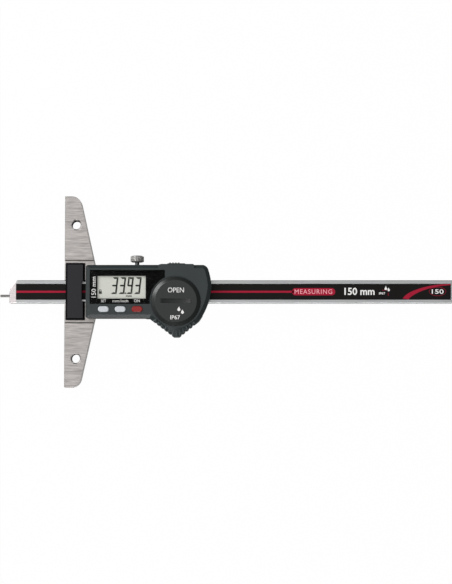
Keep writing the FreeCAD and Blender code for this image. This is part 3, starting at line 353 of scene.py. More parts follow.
def screw_set(name, places_mm, head_mm, shank_mm, length_mm, slot_mm, base_mm=0.0):
    """Slotted countersunk screws, heads down at z = base. Returns the plain object."""
    growth = Growth(name)
    head = growth.size("Head radius", head_mm / 2 * MM)
    shank = growth.size("Shank radius", shank_mm / 2 * MM)
    length = growth.size("Length", length_mm * MM)
    slot = growth.size("Slot width", slot_mm * MM)
    base = growth.size("Height of the head", base_mm * MM)
    cone_height = growth.math("SUBTRACT", head, shank)
    cone = growth.node("GeometryNodeMeshCone", fill_type="NGON")
    cone.inputs["Vertices"].default_value = 48
    growth.join(shank, cone.inputs["Radius Top"])
    growth.join(head, cone.inputs["Radius Bottom"])
    growth.join(cone_height, cone.inputs["Depth"])
    stem = growth.node("GeometryNodeMeshCylinder", fill_type="NGON")
    stem.inputs["Vertices"].default_value = 32
    growth.join(growth.math("MULTIPLY", shank, 0.999), stem.inputs["Radius"])
    growth.join(growth.math("SUBTRACT", length, cone_height), stem.inputs["Depth"])
    lift = growth.node("GeometryNodeTransform")
    growth.join(stem.outputs["Mesh"], lift.inputs["Geometry"])
    middle = growth.math("MULTIPLY", growth.math("ADD", length, cone_height), 0.5)
    growth.join(growth.vector(0.0, 0.0, middle), lift.inputs["Translation"])
    whole = growth.node("GeometryNodeMeshBoolean", operation="UNION", solver="EXACT")
    growth.join(cone.outputs["Mesh"], whole.inputs["Mesh 2"])
    growth.join(lift.outputs["Geometry"], whole.inputs["Mesh 2"])
    cut = growth.node("GeometryNodeMeshBoolean", operation="DIFFERENCE", solver="EXACT")
    groove = growth.block((growth.math("MULTIPLY", head, 2.4), slot, cone_height), 0.0, 0.0, 0.0)
    growth.join(whole.outputs["Mesh"], cut.inputs["Mesh 1"])
    growth.join(groove, cut.inputs["Mesh 2"])
    spots = growth.node("GeometryNodeJoinGeometry")
    for x, y in places_mm:
        spot = growth.node("GeometryNodePoints")
        spot.inputs["Count"].default_value = 1
        growth.join(growth.vector(x * MM, y * MM, base), spot.inputs["Position"])
        growth.join(spot.outputs["Points"], spots.inputs["Geometry"])
    turn = growth.node("FunctionNodeRandomValue", data_type="FLOAT")
    turn.inputs["Seed"].default_value = 7
    turn.inputs[3].default_value = math.pi
    set_out = growth.node("GeometryNodeInstanceOnPoints")
    growth.join(spots.outputs["Geometry"], set_out.inputs["Points"])
    growth.join(cut.outputs["Mesh"], set_out.inputs["Instance"])
    spin = growth.node("ShaderNodeCombineXYZ")
    growth.join(turn.outputs[1], spin.inputs["Z"])
    growth.join(spin.outputs["Vector"], set_out.inputs["Rotation"])
    return growth.grown(set_out.outputs["Instances"], name, screw_steel, edge_mm=0.03, sharp=25.0)


back_places_mm = [(x, y) for x in back_screw_columns_mm for y in (-back_screw_row_mm, back_screw_row_mm)]
back_screw_set = screw_set(
    "back_plate_screw_set", back_places_mm, back_screw_head_mm, back_screw_shank_mm, back_screw_length_mm, back_screw_slot_mm
)
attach(back_screw_set, "instrument")
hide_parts("back_plate_screws")


# Gib, set screws and clamp shoe
# A strip of rolled spring steel presses the rod against the slide. Two set screws trim it, and the lock
# screw clamps it through a small turned shoe of brass.

spring_metal = ground_metal("spring steel, rolled", seen(172, 172, 174), 0.3, spread=0.06)
dress("gib", spring_metal)
dress("gib_set_screws", screw_steel)

brass = Surface("brass, turned", seen(205, 168, 96), 0.34, metallic=1.0)
brass_rings = brass.noise((400, 4000, 400), 3)
brass.vary(brass_rings, 0.12)
brass.rough(brass_rings, 0.08)
dress("clamp_shoe", brass.material)


# Bridge
# One bar of hardened steel, ground along X on all faces and lapped on the measuring face. It has two holes
# for extension bridges and two shallow grooves beside the guide plate.

bridge_steel = ground_metal(
    "bridge steel, ground across", seen(180, 175, 172), 0.36, spread=0.42, depth_mm=0.006, long=170, fine_share=0.7
)
bridge = stand_in("bridge", "bridge_bar", bridge_steel, 0.1, "instrument")
# Faces that look towards +X take a satin steel that is painted lighter, as painted light on that side.
lit_flank_steel = Surface("bridge flanks facing +X, satin, painted light as lit", seen(214, 210, 207), 0.6, metallic=0.3)
lit_flank_steel.vary(lit_flank_steel.noise((2600, 2600, 2600), 4), 0.08)
# The floors of the two grooves are painted dark as shade.
groove_shade_steel = Surface("bridge grooves, painted dark as shade", seen(122, 119, 117), 0.6, metallic=0.6)
groove_shade_steel.vary(groove_shade_steel.noise((2600, 2600, 2600), 4), 0.1)
# The walls of the two bores are painted dark as shade.
bore_shade_steel = Surface("bridge bores, walls painted dark as shade", seen(62, 60, 58), 0.5, metallic=0.5)
bore_shade_steel.vary(bore_shade_steel.noise((2600, 2600, 2600), 4), 0.1)
for extra in (lit_flank_steel, groove_shade_steel, bore_shade_steel):
    bridge.data.materials.append(extra.material)
for face in bridge.data.polygons:
    middle_mm = face.center / MM
    if face.normal.x > 0.3:
        face.material_index = 1
    elif 15.9 < abs(middle_mm.y) < 17.2 and 7.0 < middle_mm.z < 7.97:
        face.material_index = 2
for face in bridge.data.polygons:
    middle_mm = face.center / MM
    if math.hypot(middle_mm.x - 5.9, abs(middle_mm.y) - 35) < 2.4 and abs(face.normal.z) < 0.3:
        face.material_index = 3


# Screws of the bridge and the guide plate
# Countersunk screws of plated steel, put in from the back, which hold the bridge to the slide's ears and the
# guide plate to the bridge.

bridge_screw_x_mm = 14.1
bridge_screw_y_mm = 9.9
plate_screw_x_mm = 5.645
plate_screw_y_mm = 11.2
bridge_set = screw_set(
    "bridge_screw_set", [(bridge_screw_x_mm, -bridge_screw_y_mm), (bridge_screw_x_mm, bridge_screw_y_mm)], 4.6, 2.4, 10.5, 0.58
)
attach(bridge_set, "instrument")
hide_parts("bridge_screws")
plate_set = screw_set(
    "guide_plate_screw_set", [(plate_screw_x_mm, -plate_screw_y_mm), (plate_screw_x_mm, plate_screw_y_mm)], 3.8, 2.0, 9.2, 0.48
)
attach(plate_set, "instrument")
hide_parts("guide_plate_screws")


# Depth rod
# A flat bar of ground stainless steel with chamfered edges and a slanted nose. The nose holds a thin
# hardened pin, and a small screw on the back stops the rod before it leaves the slide.

rod_surface = Surface("rod steel, ground lengthwise", seen(183, 184, 185), 0.3, metallic=1.0)
rod_streaks = rod_surface.noise((60, 2600, 2600), 5)
rod_surface.vary(rod_streaks, 0.16)
rod_surface.rough(rod_streaks, 0.08)
rod_surface.bump(rod_streaks, 0.002)
rod_along = rod_surface.node("SeparateXYZ")
rod_surface.join(rod_surface.place((1, 1, 1)), rod_along.inputs["Vector"])
rod_surface.tint(rod_surface.ranged(rod_along.outputs["X"], 0.7, 0, -0.0256, -0.0252), seen(232, 222, 222))
rod_steel = rod_surface.material
stand_in("depth_rod", "rod_bar", rod_steel, 0.1, "rod")
pin_metal = ground_metal("pin steel, ground round", seen(138, 136, 134), 0.3, along="X", spread=0.12)
stand_in("measuring_pin", "rod_pin", pin_metal, 0.05, "rod")
stand_in("rod_stop_screw", "rod_end_stop", screw_steel, 0.04, "rod")


# Scale and its printed film
# A glass-fibre strip with the copper pattern of the scale lies glued in the rod's groove. Over it lies a
# satin black film with a red centre line, a red field with white letters and small white print.

board_surface = Surface("glass fibre board, green lacquer", seen(40, 92, 62), 0.42)
weave = board_surface.noise((2200, 2200, 200), 2)
board_surface.vary(weave, 0.18)
board_surface.bump(weave, 0.01)
board_green = board_surface.material
dress("scale_strip", board_green)

film_surface = Surface("label film, satin black", seen(22, 20, 19), 0.4, specular=0.1)
film_grain = film_surface.noise((5000, 5000, 5000), 3)
film_surface.vary(film_grain, 0.12)
film_surface.rough(film_surface.noise((120, 900, 900), 4), 0.06)
film_surface.bump(film_grain, 0.002)
stand_in("scale_foil", "rod_label", film_surface.material, 0.03, "rod")


def ink(name, colour, roughness=0.5, specular=0.2):
    """Screen-printed ink with a slightly uneven cover."""
    surface = Surface(name, colour, roughness, specular=specular)
    cover = surface.noise((3500, 3500, 3500), 3)
    surface.vary(cover, 0.06)
    surface.rough(cover, 0.06)
    return surface.material


red_ink = ink("red screen ink", seen(170, 30, 56), 0.55, 0.1)
white_ink = ink("white screen ink", seen(246, 245, 243))
rose_ink = ink("rose screen ink", seen(246, 176, 186))

PRINT_MM = 0.012  # how thick a layer of print is


def drawn(name, shapes, height_mm, material, thickness_mm=PRINT_MM):
    """Flat shapes, each a list of (x, y) in mm, as one thin solid layer that stands on a height."""
    mesh = bmesh.new()
    for shape in shapes:
        low = [mesh.verts.new((x * MM, y * MM, (height_mm - 0.003) * MM)) for x, y in shape]
        high = [mesh.verts.new((x * MM, y * MM, (height_mm + thickness_mm) * MM)) for x, y in shape]
        mesh.faces.new(high)
        mesh.faces.new(low[::-1])
        for i in range(len(shape)):
            j = (i + 1) % len(shape)
            mesh.faces.new((low[i], low[j], high[j], high[i]))
    bmesh.ops.recalc_face_normals(mesh, faces=mesh.faces)
    return object_from(mesh, name, material, 20.0)


def written(name, text, place_mm, height_mm, tall_mm, material, wide_mm=None, turn=0.0, weight=0.0, spacing=1.0):
    """A word with its lower left corner at a place, stretched to a height and a width, as a thin solid."""
    curve = bpy.data.curves.new(name, "FONT")
    curve.body = text
    curve.offset = weight
    curve.space_character = spacing
    curve.extrude = 0.01
    curve.resolution_u = 3
    holder = bpy.data.objects.new(name, curve)
    bpy.context.scene.collection.objects.link(holder)
    bpy.context.view_layer.update()
    data = bpy.data.meshes.new_from_object(holder.evaluated_get(bpy.context.evaluated_depsgraph_get()))
    bpy.data.objects.remove(holder)
    mesh = bmesh.new()
    mesh.from_mesh(data)
    low = Vector([min(v.co[i] for v in mesh.verts) for i in range(3)])
    high = Vector([max(v.co[i] for v in mesh.verts) for i in range(3)])
    tall = tall_mm * MM / (high.y - low.y)
    wide = wide_mm * MM / (high.x - low.x) if wide_mm else tall
    thick = (PRINT_MM + 0.003) * MM / (high.z - low.z)
    fit = Matrix.Diagonal((wide, tall, thick, 1)) @ Matrix.Translation(-low)
    put = Matrix.Translation((place_mm[0] * MM, place_mm[1] * MM, (height_mm - 0.003) * MM))
    mesh.transform(put @ Matrix.Rotation(turn, 4, "Z") @ fit)
    bmesh.ops.remove_doubles(mesh, verts=mesh.verts, dist=1e-7)
    bmesh.ops.recalc_face_normals(mesh, faces=mesh.faces)
    return object_from(mesh, name, material, 20.0)


def oblong(centre, length, width, steps=14):
    """The outline of a bar with round ends, or of a circle."""
    half, radius = (length - width) / 2, width / 2
    points = []
    for side in (1, -1):
        for i in range(steps + 1):
            angle = math.pi * (i / steps - 0.5)
            points.append(
                (centre[0] + side * (half + radius * math.cos(angle)), centre[1] + side * radius * math.sin(angle))
            )
    return points


def rectangle(x_range, y_range):
    return [(x_range[0], y_range[0]), (x_range[1], y_range[0]), (x_range[1], y_range[1]), (x_range[0], y_range[1])]


def ring_bars(centre, length, width, stroke, steps=28):
    """An oval outline as short joined bars."""
    shapes = []
    for i in range(steps):
        a, b = (2 * math.pi * k / steps for k in (i, i + 1))
        quad = []
        for angle, grow in ((a, 0), (b, 0), (b, 1), (a, 1)):
            quad.append(
                (
                    centre[0] + (length / 2 - grow * stroke) * math.cos(angle),
                    centre[1] + (width / 2 - grow * stroke) * math.sin(angle),
                )
            )
        shapes.append(quad[::-1])
    return shapes


def tapered_band(points, widths):
    """A band along a row of points, as one shape, with its own width at each point."""
    left, right = [], []
    for i, (x, y) in enumerate(points):
        before, after = points[max(i - 1, 0)], points[min(i + 1, len(points) - 1)]
        along = Vector((after[0] - before[0], after[1] - before[1])).normalized()
        half = widths[i] / 2
        left.append((x - along.y * half, y + along.x * half))
        right.append((x + along.y * half, y - along.x * half))
    return right + left[::-1]


def drop(x, y, size, lean):
    """A water drop that hangs from a point."""
    shape = [(x, y)]
    for i in range(11):
        angle = math.radians(60 - 300 * i / 10)
        shape.append((x + lean + size * 0.5 * math.cos(angle), y - size + size * 0.5 * math.sin(angle)))
    return shape


film_top_mm = 6.5
film_start_mm = -25.4
film_end_mm = 201.8
film_half_mm = 4.09
line_width_mm = 1.05
field_mm = (118.8, 141.4)
field_height_mm = 3.8
sweep_foot_mm = 178.7
sweep_reach_mm = 24.0
oval_centre_mm = (194.9, 0.15)

sweep_points, sweep_widths = [], []
for i in range(25):
    share = i / 24
    angle = share * math.pi / 2
    x = sweep_foot_mm - 0.4 + sweep_reach_mm * (1 - math.cos(angle)) ** 0.8
    y = -film_half_mm + (2 * film_half_mm - 0.35) * math.sin(angle)
    sweep_points.append((min(x, film_end_mm), y))
    sweep_widths.append(3.4 - 2.9 * share ** 0.6)
sweep = [(x, max(-film_half_mm, min(film_half_mm, y))) for x, y in tapered_band(sweep_points, sweep_widths)]

red_shapes = [
    rectangle((film_start_mm, field_mm[0] + 1.0), (-line_width_mm / 2, line_width_mm / 2)),
    oblong(((field_mm[0] + field_mm[1]) / 2, 0), field_mm[1] - field_mm[0], field_height_mm),
    sweep,
    rectangle((166.0, 169.0), (0.75, 0.95)),
    rectangle((169.0, 169.2), (-2.1, -0.5)),
]
label_red = drawn("label_red_print", red_shapes, film_top_mm, red_ink)
label_oval = drawn("label_oval_print", ring_bars(oval_centre_mm, 8.9, 4.7, 0.16), film_top_mm, red_ink)
label_word = written("label_word_print", "MEASURING", (120.2, -1.15), film_top_mm + PRINT_MM, 2.4, rose_ink, 19.6, spacing=1.15)
label_range = written("label_range_print", "150 mm", (146.2, -1.75), film_top_mm, 3.9, white_ink, 15.8, weight=0.022)
label_mark = written("label_mark_print", "IP67", (164.3, -1.45), film_top_mm, 1.2, white_ink, 3.2, weight=0.02)
label_drops = drawn("label_drop_print", [drop(167.8, 3.0, 1.5, 0.1), drop(169.2, 2.2, 1.3, 0.15)], film_top_mm, white_ink)
label_end = written("label_end_print", "150", (191.9, -1.1), film_top_mm, 2.4, white_ink, 6.2, weight=0.012)
for printed in (label_red, label_oval, label_word, label_range, label_mark, label_drops, label_end):
    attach(printed, "rod")


# Guide plate
# A milled steel plate, burnished black, that closes the rod's slot in the bridge. It is notched at the rear
# so that the rod and its line can be seen, and its edges are painted a little bright, as wear and as a painted
# highlight.

black_surface = Surface("burnished steel, satin black", seen(40, 39, 43), 0.42, specular=0.2)
black_grain = black_surface.noise((900, 3400, 900), 4)
black_surface.vary(black_grain, 0.08)
black_surface.rough(black_grain, 0.06)
black_surface.bump(black_grain, 0.004)
# The edges are painted lighter, as wear and as a painted highlight.
black_surface.wear_and_edge_highlight(0.2, seen(84, 84, 88), 0.4)
guide_cover = stand_in("guide_plate", "guide_cover_plate", black_surface.material, 0.08, "instrument")

# The bevel faces are painted near black, darker than the plate's top, as painted shade.
bevel_shade_surface = Surface("burnished steel, bevels painted dark as shade", seen(14, 14, 16), 0.5, specular=0.02)
bevel_shade_surface.vary(bevel_shade_surface.noise((900, 3400, 900), 4), 0.1)
guide_cover.data.materials.append(bevel_shade_surface.material)
for face in guide_cover.data.polygons:
    if 0.5 < face.normal.z < 0.9:
        face.material_index = 1


# Lock screw
# Turned from brass and plated with satin nickel, with a straight knurl round its head. It clamps the rod
# through the gib when it is turned.

lock_x_mm = 37.75
lock_z_mm = 4.6
lock_head_start_mm = 15.58
lock_head_end_mm = 18.98
lock_neck_mm = 1.12
lock_core_mm = 3.26
lock_rib_mm = 0.24
lock_ribs = 26

nickel = Surface("satin nickel plate", seen(158, 157, 155), 0.4, metallic=1.0)
nickel_grain = nickel.noise((2600, 900, 2600), 4)
nickel.vary(nickel_grain, 0.14)
nickel.rough(nickel_grain, 0.08)
nickel.bump(nickel_grain, 0.006)
# The edges are painted lighter, as wear and as a painted highlight.
nickel.wear_and_edge_highlight(0.2, seen(214, 213, 208), 0.7)


def turned(name, profile_mm, material, segments=64):
    """A turned piece on the Y axis through the lock screw. The profile's points are (radius, y)."""
    mesh = bmesh.new()
    rings = []
    for radius, y in profile_mm:
        if radius == 0:
            rings.append([mesh.verts.new((lock_x_mm * MM, y * MM, lock_z_mm * MM))] * segments)
            continue
        ring = []
        for i in range(segments):
            angle = 2 * math.pi * i / segments
            x = lock_x_mm + radius * math.cos(angle)
            ring.append(mesh.verts.new((x * MM, y * MM, (lock_z_mm + radius * math.sin(angle)) * MM)))
        rings.append(ring)
    for low, high in zip(rings, rings[1:]):
        for i in range(segments):
            j = (i + 1) % segments
            corners = []
            for vert in (low[i], low[j], high[j], high[i]):
                if vert not in corners:
                    corners.append(vert)
            if len(corners) > 2:
                mesh.faces.new(corners)
    bmesh.ops.recalc_face_normals(mesh, faces=mesh.faces)
    return object_from(mesh, name, material, 30.0)


lock_profile_mm = [
    (0, 7.5),
    (1.1, 7.5),
    (1.2, 7.6),
    (1.2, 12.3),
    (lock_neck_mm, 12.4),
    (lock_neck_mm, lock_head_start_mm),
    (lock_core_mm - 0.5, lock_head_start_mm),
    (lock_core_mm, lock_head_start_mm + 0.45),
    (lock_core_mm, lock_head_end_mm - 0.7),
    (lock_core_mm - 0.25, lock_head_end_mm - 0.25),
    (lock_core_mm - 0.8, lock_head_end_mm),
    (1.2, lock_head_end_mm),
    (0.9, lock_head_end_mm - 0.18),
    (0, lock_head_end_mm - 0.18),
]
lock_body = turned("lock_screw_body", lock_profile_mm, nickel.material)
# The shank takes a darker steel than the head.
shank = Surface("steel shank, darker than the head", seen(96, 97, 97), 0.42, metallic=1.0)
shank.vary(shank.noise((900, 5200, 900), 3), 0.15)
lock_body.data.materials.append(shank.material)
for face in lock_body.data.polygons:
    if face.center.y < (lock_head_start_mm - 0.01) * MM:
        face.material_index = 1
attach(lock_body, "lock")
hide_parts("lock_screw")

knurl = Growth("lock_knurl")
knurl_count = knurl.size("Ribs", lock_ribs, "NodeSocketInt")
knurl_radius = knurl.size("Core radius", lock_core_mm * MM)
knurl_width = knurl.size("Rib width", 0.46 * MM)
knurl_height = knurl.size("Rib height", lock_rib_mm * MM)
knurl_length = knurl.size("Rib length", (lock_head_end_mm - lock_head_start_mm - 0.7) * MM)
knurl_x = knurl.size("Axis x", lock_x_mm * MM)
knurl_y = knurl.size("Middle y", (lock_head_start_mm + lock_head_end_mm - 0.2) / 2 * MM)
knurl_z = knurl.size("Axis z", lock_z_mm * MM)
rib_bar = knurl.node("GeometryNodeMeshCylinder", fill_type="NGON")
rib_bar.inputs["Vertices"].default_value = 8
knurl.join(knurl.math("MULTIPLY", knurl_width, 0.5), rib_bar.inputs["Radius"])
knurl.join(knurl_length, rib_bar.inputs["Depth"])
circle = knurl.node("GeometryNodeMeshCircle")
knurl.join(knurl_count, circle.inputs["Vertices"])
knurl.join(knurl.math("SUBTRACT", knurl_radius, knurl.math("SUBTRACT", knurl.math("MULTIPLY", knurl_width, 0.5), knurl_height)), circle.inputs["Radius"])
ribs = knurl.node("GeometryNodeInstanceOnPoints")
knurl.join(circle.outputs["Mesh"], ribs.inputs["Points"])
knurl.join(rib_bar.outputs["Mesh"], ribs.inputs["Instance"])
stand = knurl.node("GeometryNodeTransform")
knurl.join(ribs.outputs["Instances"], stand.inputs["Geometry"])
stand.inputs["Rotation"].default_value = (math.pi / 2, 0, 0)
knurl.join(knurl.vector(knurl_x, knurl_y, knurl_z), stand.inputs["Translation"])
lock_knurl = knurl.grown(stand.outputs["Geometry"], "lock_screw_knurl", nickel.material, edge_mm=0.05)
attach(lock_knurl, "lock")


# Circuit boards and what is on them
# Two glass-fibre boards: the sensor board reads the scale through the slide's window, and the main board
# carries the processor, the crystal in its can, a row of capacitors, the domes and the contacts.

for node in ("main_board", "sensor_board"):
    dress(node, board_green)

chip_surface = Surface("moulded chip, matt black", seen(44, 44, 46), 0.6)
chip_grain = chip_surface.noise((6000, 6000, 6000), 3)
chip_surface.vary(chip_grain, 0.2)
chip_surface.bump(chip_grain, 0.01)
dress("processor_chip", chip_surface.material)
dress("data_connector", chip_surface.material)

can_metal = ground_metal("drawn can, nickel plated", seen(196, 196, 198), 0.24, along="Y", spread=0.06)
for node in ("quartz_crystal", "contact_leaf", "contact_clip", "dome_switches"):
    dress(node, can_metal)

ceramic = Surface("fired ceramic, tan", seen(170, 146, 118), 0.5)
ceramic_grain = ceramic.noise((4000, 4000, 4000), 3)
ceramic.vary(ceramic_grain, 0.15)
dress("board_capacitors", ceramic.material)

gold = Surface("gold plate", seen(224, 184, 104), 0.26, metallic=1.0)
gold_grain = gold.noise((3000, 3000, 800), 3)
gold.vary(gold_grain, 0.1)
dress("data_contacts", gold.material)


# Seals, wipers and the keypad
# Moulded silicone and nitrile rubber keep water out: a tray over the domes, a ring under the housing and the
# battery cover's O-ring. Two felt pads wipe the scale clean as the rod slides.

rubber = Surface("moulded rubber, black", seen(50, 50, 51), 0.62, specular=0.35)
rubber_grain = rubber.noise((2500, 2500, 2500), 4)
rubber.vary(rubber_grain, 0.12)
rubber.bump(rubber_grain, 0.01)
for node in ("keypad_seal", "housing_seal", "cover_seal", "zebra_strips"):
    dress(node, rubber.material)

felt = Surface("pressed felt, dark grey", seen(78, 76, 72), 0.95, specular=0.1)
felt_fibres = felt.noise((1800, 5200, 5200), 6)
felt.vary(felt_fibres, 0.4)
felt.bump(felt_fibres, 0.08)
for node in ("front_wiper", "rear_wiper"):
    dress(node, felt.material)


# Display
# A reflective liquid crystal glass in a white moulded holder. Its dark segments show a reading and throw a
# faint shadow on the reflector behind them; a small padlock and the unit stand beside the digits.

holder = Surface("holder plastic, white", seen(206, 206, 202), 0.5)
holder_grain = holder.noise((2500, 2500, 2500), 3)
holder.vary(holder_grain, 0.05)
dress("lcd_holder", holder.material)

glass_back = Surface("display reflector, grey green", seen(228, 230, 220), 0.5, specular=0.1)
glass_grain = glass_back.noise((1500, 1500, 1500), 4)
glass_back.vary(glass_grain, 0.025)
glass_back.rough(glass_grain, 0.05)
stand_in("lcd_panel", "display_panel", glass_back.material, 0.06, "instrument")

segment_ink = ink("liquid crystal, dark", seen(44, 47, 42), 0.35)
shadow_ink = ink("shadow on the reflector", seen(206, 208, 198), 0.45)

panel_top_mm = 13.35
digits_mm = ((24.5, "3"), (28.5, "3"), (32.5, "9"), (36.55, "3"))  # left end of each digit's foot
digit_foot_mm = -1.62
digit_height_mm = 8.7
digit_width_mm = 2.95
segment_mm = 0.86
segment_gap_mm = 0.05
slant = math.tan(math.radians(6.5))
lit = {"3": "abgcd", "9": "abcdfg"}


def digit_shapes(left, figure):
    """The lit segments of one seven-segment figure, mitred where they meet, leaning to the right."""
    w, h, t, g = digit_width_mm, digit_height_mm, segment_mm, segment_gap_mm
    m = h / 2
    parts = {
        "a": [(g, h), (w - g, h), (w - g - t, h - t), (g + t, h - t)],
        "d": [(g, 0), (g + t, t), (w - g - t, t), (w - g, 0)],
        "g": [(g, m), (g + t / 2, m + t / 2), (w - g - t / 2, m + t / 2), (w - g, m), (w - g - t / 2, m - t / 2), (g + t / 2, m - t / 2)],
        "b": [(w, h - g), (w, m + g), (w - t / 2, m + g), (w - t, m + g + t / 2), (w - t, h - g - t)],
        "c": [(w, m - g), (w, g), (w - t, g + t), (w - t, m - g - t / 2), (w - t / 2, m - g)],
        "f": [(0, h - g), (t, h - g - t), (t, m + g + t / 2), (t / 2, m + g), (0, m + g)],
    }
    made = []
    for key in lit[figure]:
        made.append([(left + x + y * slant, digit_foot_mm + y) for x, y in parts[key]])
    return made


shapes = []
for left, figure in digits_mm:
    shapes += digit_shapes(left, figure)
dot_left = 31.62
shapes.append([(dot_left + x + y * slant, digit_foot_mm + y) for x, y in ((0, 0), (0.72, 0), (0.72, 0.72), (0, 0.72))])
shapes += [
    rectangle((18.3, 19.75), (-1.55, -0.2)),
    rectangle((18.5, 18.8), (-0.2, 0.4)),
    rectangle((19.25, 19.55), (-0.2, 0.4)),
    rectangle((18.5, 19.55), (0.4, 0.68)),
]
segments = drawn("display_segments", shapes, panel_top_mm + PRINT_MM, segment_ink)
shadows = [[(x + 0.16, y - 0.16) for x, y in shape] for shape in shapes]
segment_shadow = drawn("display_shadow", shadows, panel_top_mm, shadow_ink, PRINT_MM * 0.5)
unit_sign = written("display_unit", "mm", (32.35, -3.15), panel_top_mm, 0.8, segment_ink, 3.05, weight=0.035)
for printed in (segments, segment_shadow, unit_sign):
    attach(printed, "instrument")


# Housing
# One shell of glass-filled polyamide, moulded with a fine matt grain. It carries the display, the keys and
# the battery, and its serrated corner is the rest for the thumb that pushes the slide.

shell_surface = Surface("housing polyamide, dark grey green", seen(35, 43, 44), 0.36, specular=0.5)
shell_grain = shell_surface.noise((3800, 3800, 3800), 4)
shell_clouds = shell_surface.noise((90, 90, 90), 3)
shell_surface.vary(shell_clouds, 0.07)
shell_surface.rough(shell_grain, 0.06)
shell_surface.bump(shell_grain, 0.012)
# The edges are painted lighter, as wear and as a painted highlight.
shell_surface.wear_and_edge_highlight(0.3, seen(84, 92, 94), 0.35)
shell_plastic = shell_surface.material

cap_middle_mm = (58.3, -5.5)
housing_top_mm = 14.8
brow_mm = 13.85  # radius of the brow round the cap, where the thumb rest starts to fall
brow_leaves_deg = 322  # from here on the brow runs out towards the rear flank
brow_end_mm = 16.5
rest_from_deg = 211.5
rest_to_deg = 352
rest_reach_mm = 22.0
rest_slope = math.tan(math.radians(20))
grip_tip_mm = -23.9
grip_flanks_mm = ((57.1, (-0.794, 0.608), 6), (59.95, (0.777, 0.629), 5))  # tip corner, direction, teeth
tooth_pitch_mm = 2.5
ridge_mm = 0.62


def reduced(piece, cutter, operation):
    """Cuts a piece by another one, or keeps what they share, and does away with the cutter."""
    cut = piece.modifiers.new("cut", "BOOLEAN")
    cut.operation = operation
    cut.solver = "EXACT"
    cut.object = cutter
    bpy.context.view_layer.update()
    made = bpy.data.meshes.new_from_object(piece.evaluated_get(bpy.context.evaluated_depsgraph_get()))
    piece.modifiers.clear()
    piece.data = made
    bpy.data.objects.remove(cutter)
    return piece


def fall_cutter():
    """What lies above the falling cone of the thumb rest, a fan of prisms joined into one ring sector."""
    mesh = bmesh.new()
    rings = []
    steps = 44
    for i in range(steps + 1):
        degrees = rest_from_deg + (rest_to_deg - rest_from_deg) * i / steps
        leave = max(0.0, degrees - brow_leaves_deg) / (rest_to_deg - brow_leaves_deg)
        start = brow_mm + (brow_end_mm - brow_mm) * leave ** 0.8
        foot = housing_top_mm - rest_slope * (rest_reach_mm - start)
        ring = []
        for radius, z in ((start, housing_top_mm), (rest_reach_mm, foot), (rest_reach_mm, 16), (start, 16)):
            x = cap_middle_mm[0] + radius * math.cos(math.radians(degrees))
            y = cap_middle_mm[1] + radius * math.sin(math.radians(degrees))
            ring.append(mesh.verts.new((x * MM, y * MM, z * MM)))
        rings.append(ring)
    for low, high in zip(rings, rings[1:]):
        for k in range(4):
            mesh.faces.new((low[k], low[(k + 1) % 4], high[(k + 1) % 4], high[k]))
    mesh.faces.new(rings[0])
    mesh.faces.new(rings[-1][::-1])
    bmesh.ops.recalc_face_normals(mesh, faces=mesh.faces)
    return object_from(mesh, "fall_cutter", shell_plastic)


shell = object_from(whole_copy("housing"), "housing_shell", shell_plastic)
reduced(shell, fall_cutter(), "DIFFERENCE")

# Ridges on the thumb rest, one to each tooth of the outline, that run from the tooth up to the brow
fan = Growth("grip_ridges")
fan_pitch = fan.size("Tooth pitch", tooth_pitch_mm * MM)
fan_ridge = fan.size("Ridge width", ridge_mm * MM)
fan_brow = fan.size("Brow radius", brow_mm * MM)
fan_top = fan.size("Top height", housing_top_mm * MM)
fan_slope = fan.size("Slope", rest_slope)
fan_x = fan.size("Cap x", cap_middle_mm[0] * MM)
fan_y = fan.size("Cap y", cap_middle_mm[1] * MM)
teeth = fan.node("GeometryNodeJoinGeometry")
for tip_x, (along_x, along_y), count in grip_flanks_mm:
    row = fan.node("GeometryNodeMeshLine")
    row.inputs["Count"].default_value = count
    row.inputs["Start Location"].default_value = (
        (tip_x + 0.25 * tooth_pitch_mm * along_x) * MM,
        (grip_tip_mm + 0.25 * tooth_pitch_mm * along_y) * MM,
        0,
    )
    fan.join(fan.vector(fan.math("MULTIPLY", fan_pitch, along_x), fan.math("MULTIPLY", fan_pitch, along_y)), row.inputs["Offset"])
    fan.join(row.outputs["Mesh"], teeth.inputs["Geometry"])
middle_tooth = fan.node("GeometryNodePoints")
middle_tooth.inputs["Position"].default_value = (58.5 * MM, grip_tip_mm * MM, 0)
fan.join(middle_tooth.outputs["Points"], teeth.inputs["Geometry"])
spot = fan.node("ShaderNodeSeparateXYZ")
fan.join(fan.node("GeometryNodeInputPosition").outputs["Position"], spot.inputs["Vector"])
away_x = fan.math("SUBTRACT", spot.outputs["X"], fan_x)
away_y = fan.math("SUBTRACT", spot.outputs["Y"], fan_y)
away = fan.math("SQRT", fan.math("ADD", fan.math("POWER", away_x, 2.0), fan.math("POWER", away_y, 2.0)), 0.0)
bearing = fan.math("ARCTAN2", fan.math("MULTIPLY", away_y, -1.0), fan.math("MULTIPLY", away_x, -1.0))
run = fan.math("SUBTRACT", away, fan_brow)
foot_z = fan.math("SUBTRACT", fan.math("SUBTRACT", fan_top, 0.0001), fan.math("MULTIPLY", fan_slope, run))
bar = fan.node("GeometryNodeMeshCube")
fan.join(fan.vector(0.9, fan_ridge, fan_ridge), bar.inputs["Size"])
roof = fan.node("GeometryNodeTransform")
fan.join(bar.outputs["Mesh"], roof.inputs["Geometry"])
roof.inputs["Rotation"].default_value = (math.pi / 4, 0, 0)
roof.inputs["Translation"].default_value = (0.53, 0, 0)
lay = fan.node("GeometryNodeInstanceOnPoints")
place_teeth = fan.node("GeometryNodeSetPosition")
fan.join(teeth.outputs["Geometry"], place_teeth.inputs["Geometry"])
fan.join(fan.vector(spot.outputs["X"], spot.outputs["Y"], foot_z), place_teeth.inputs["Position"])
fan.join(roof.outputs["Geometry"], lay.inputs["Instance"])
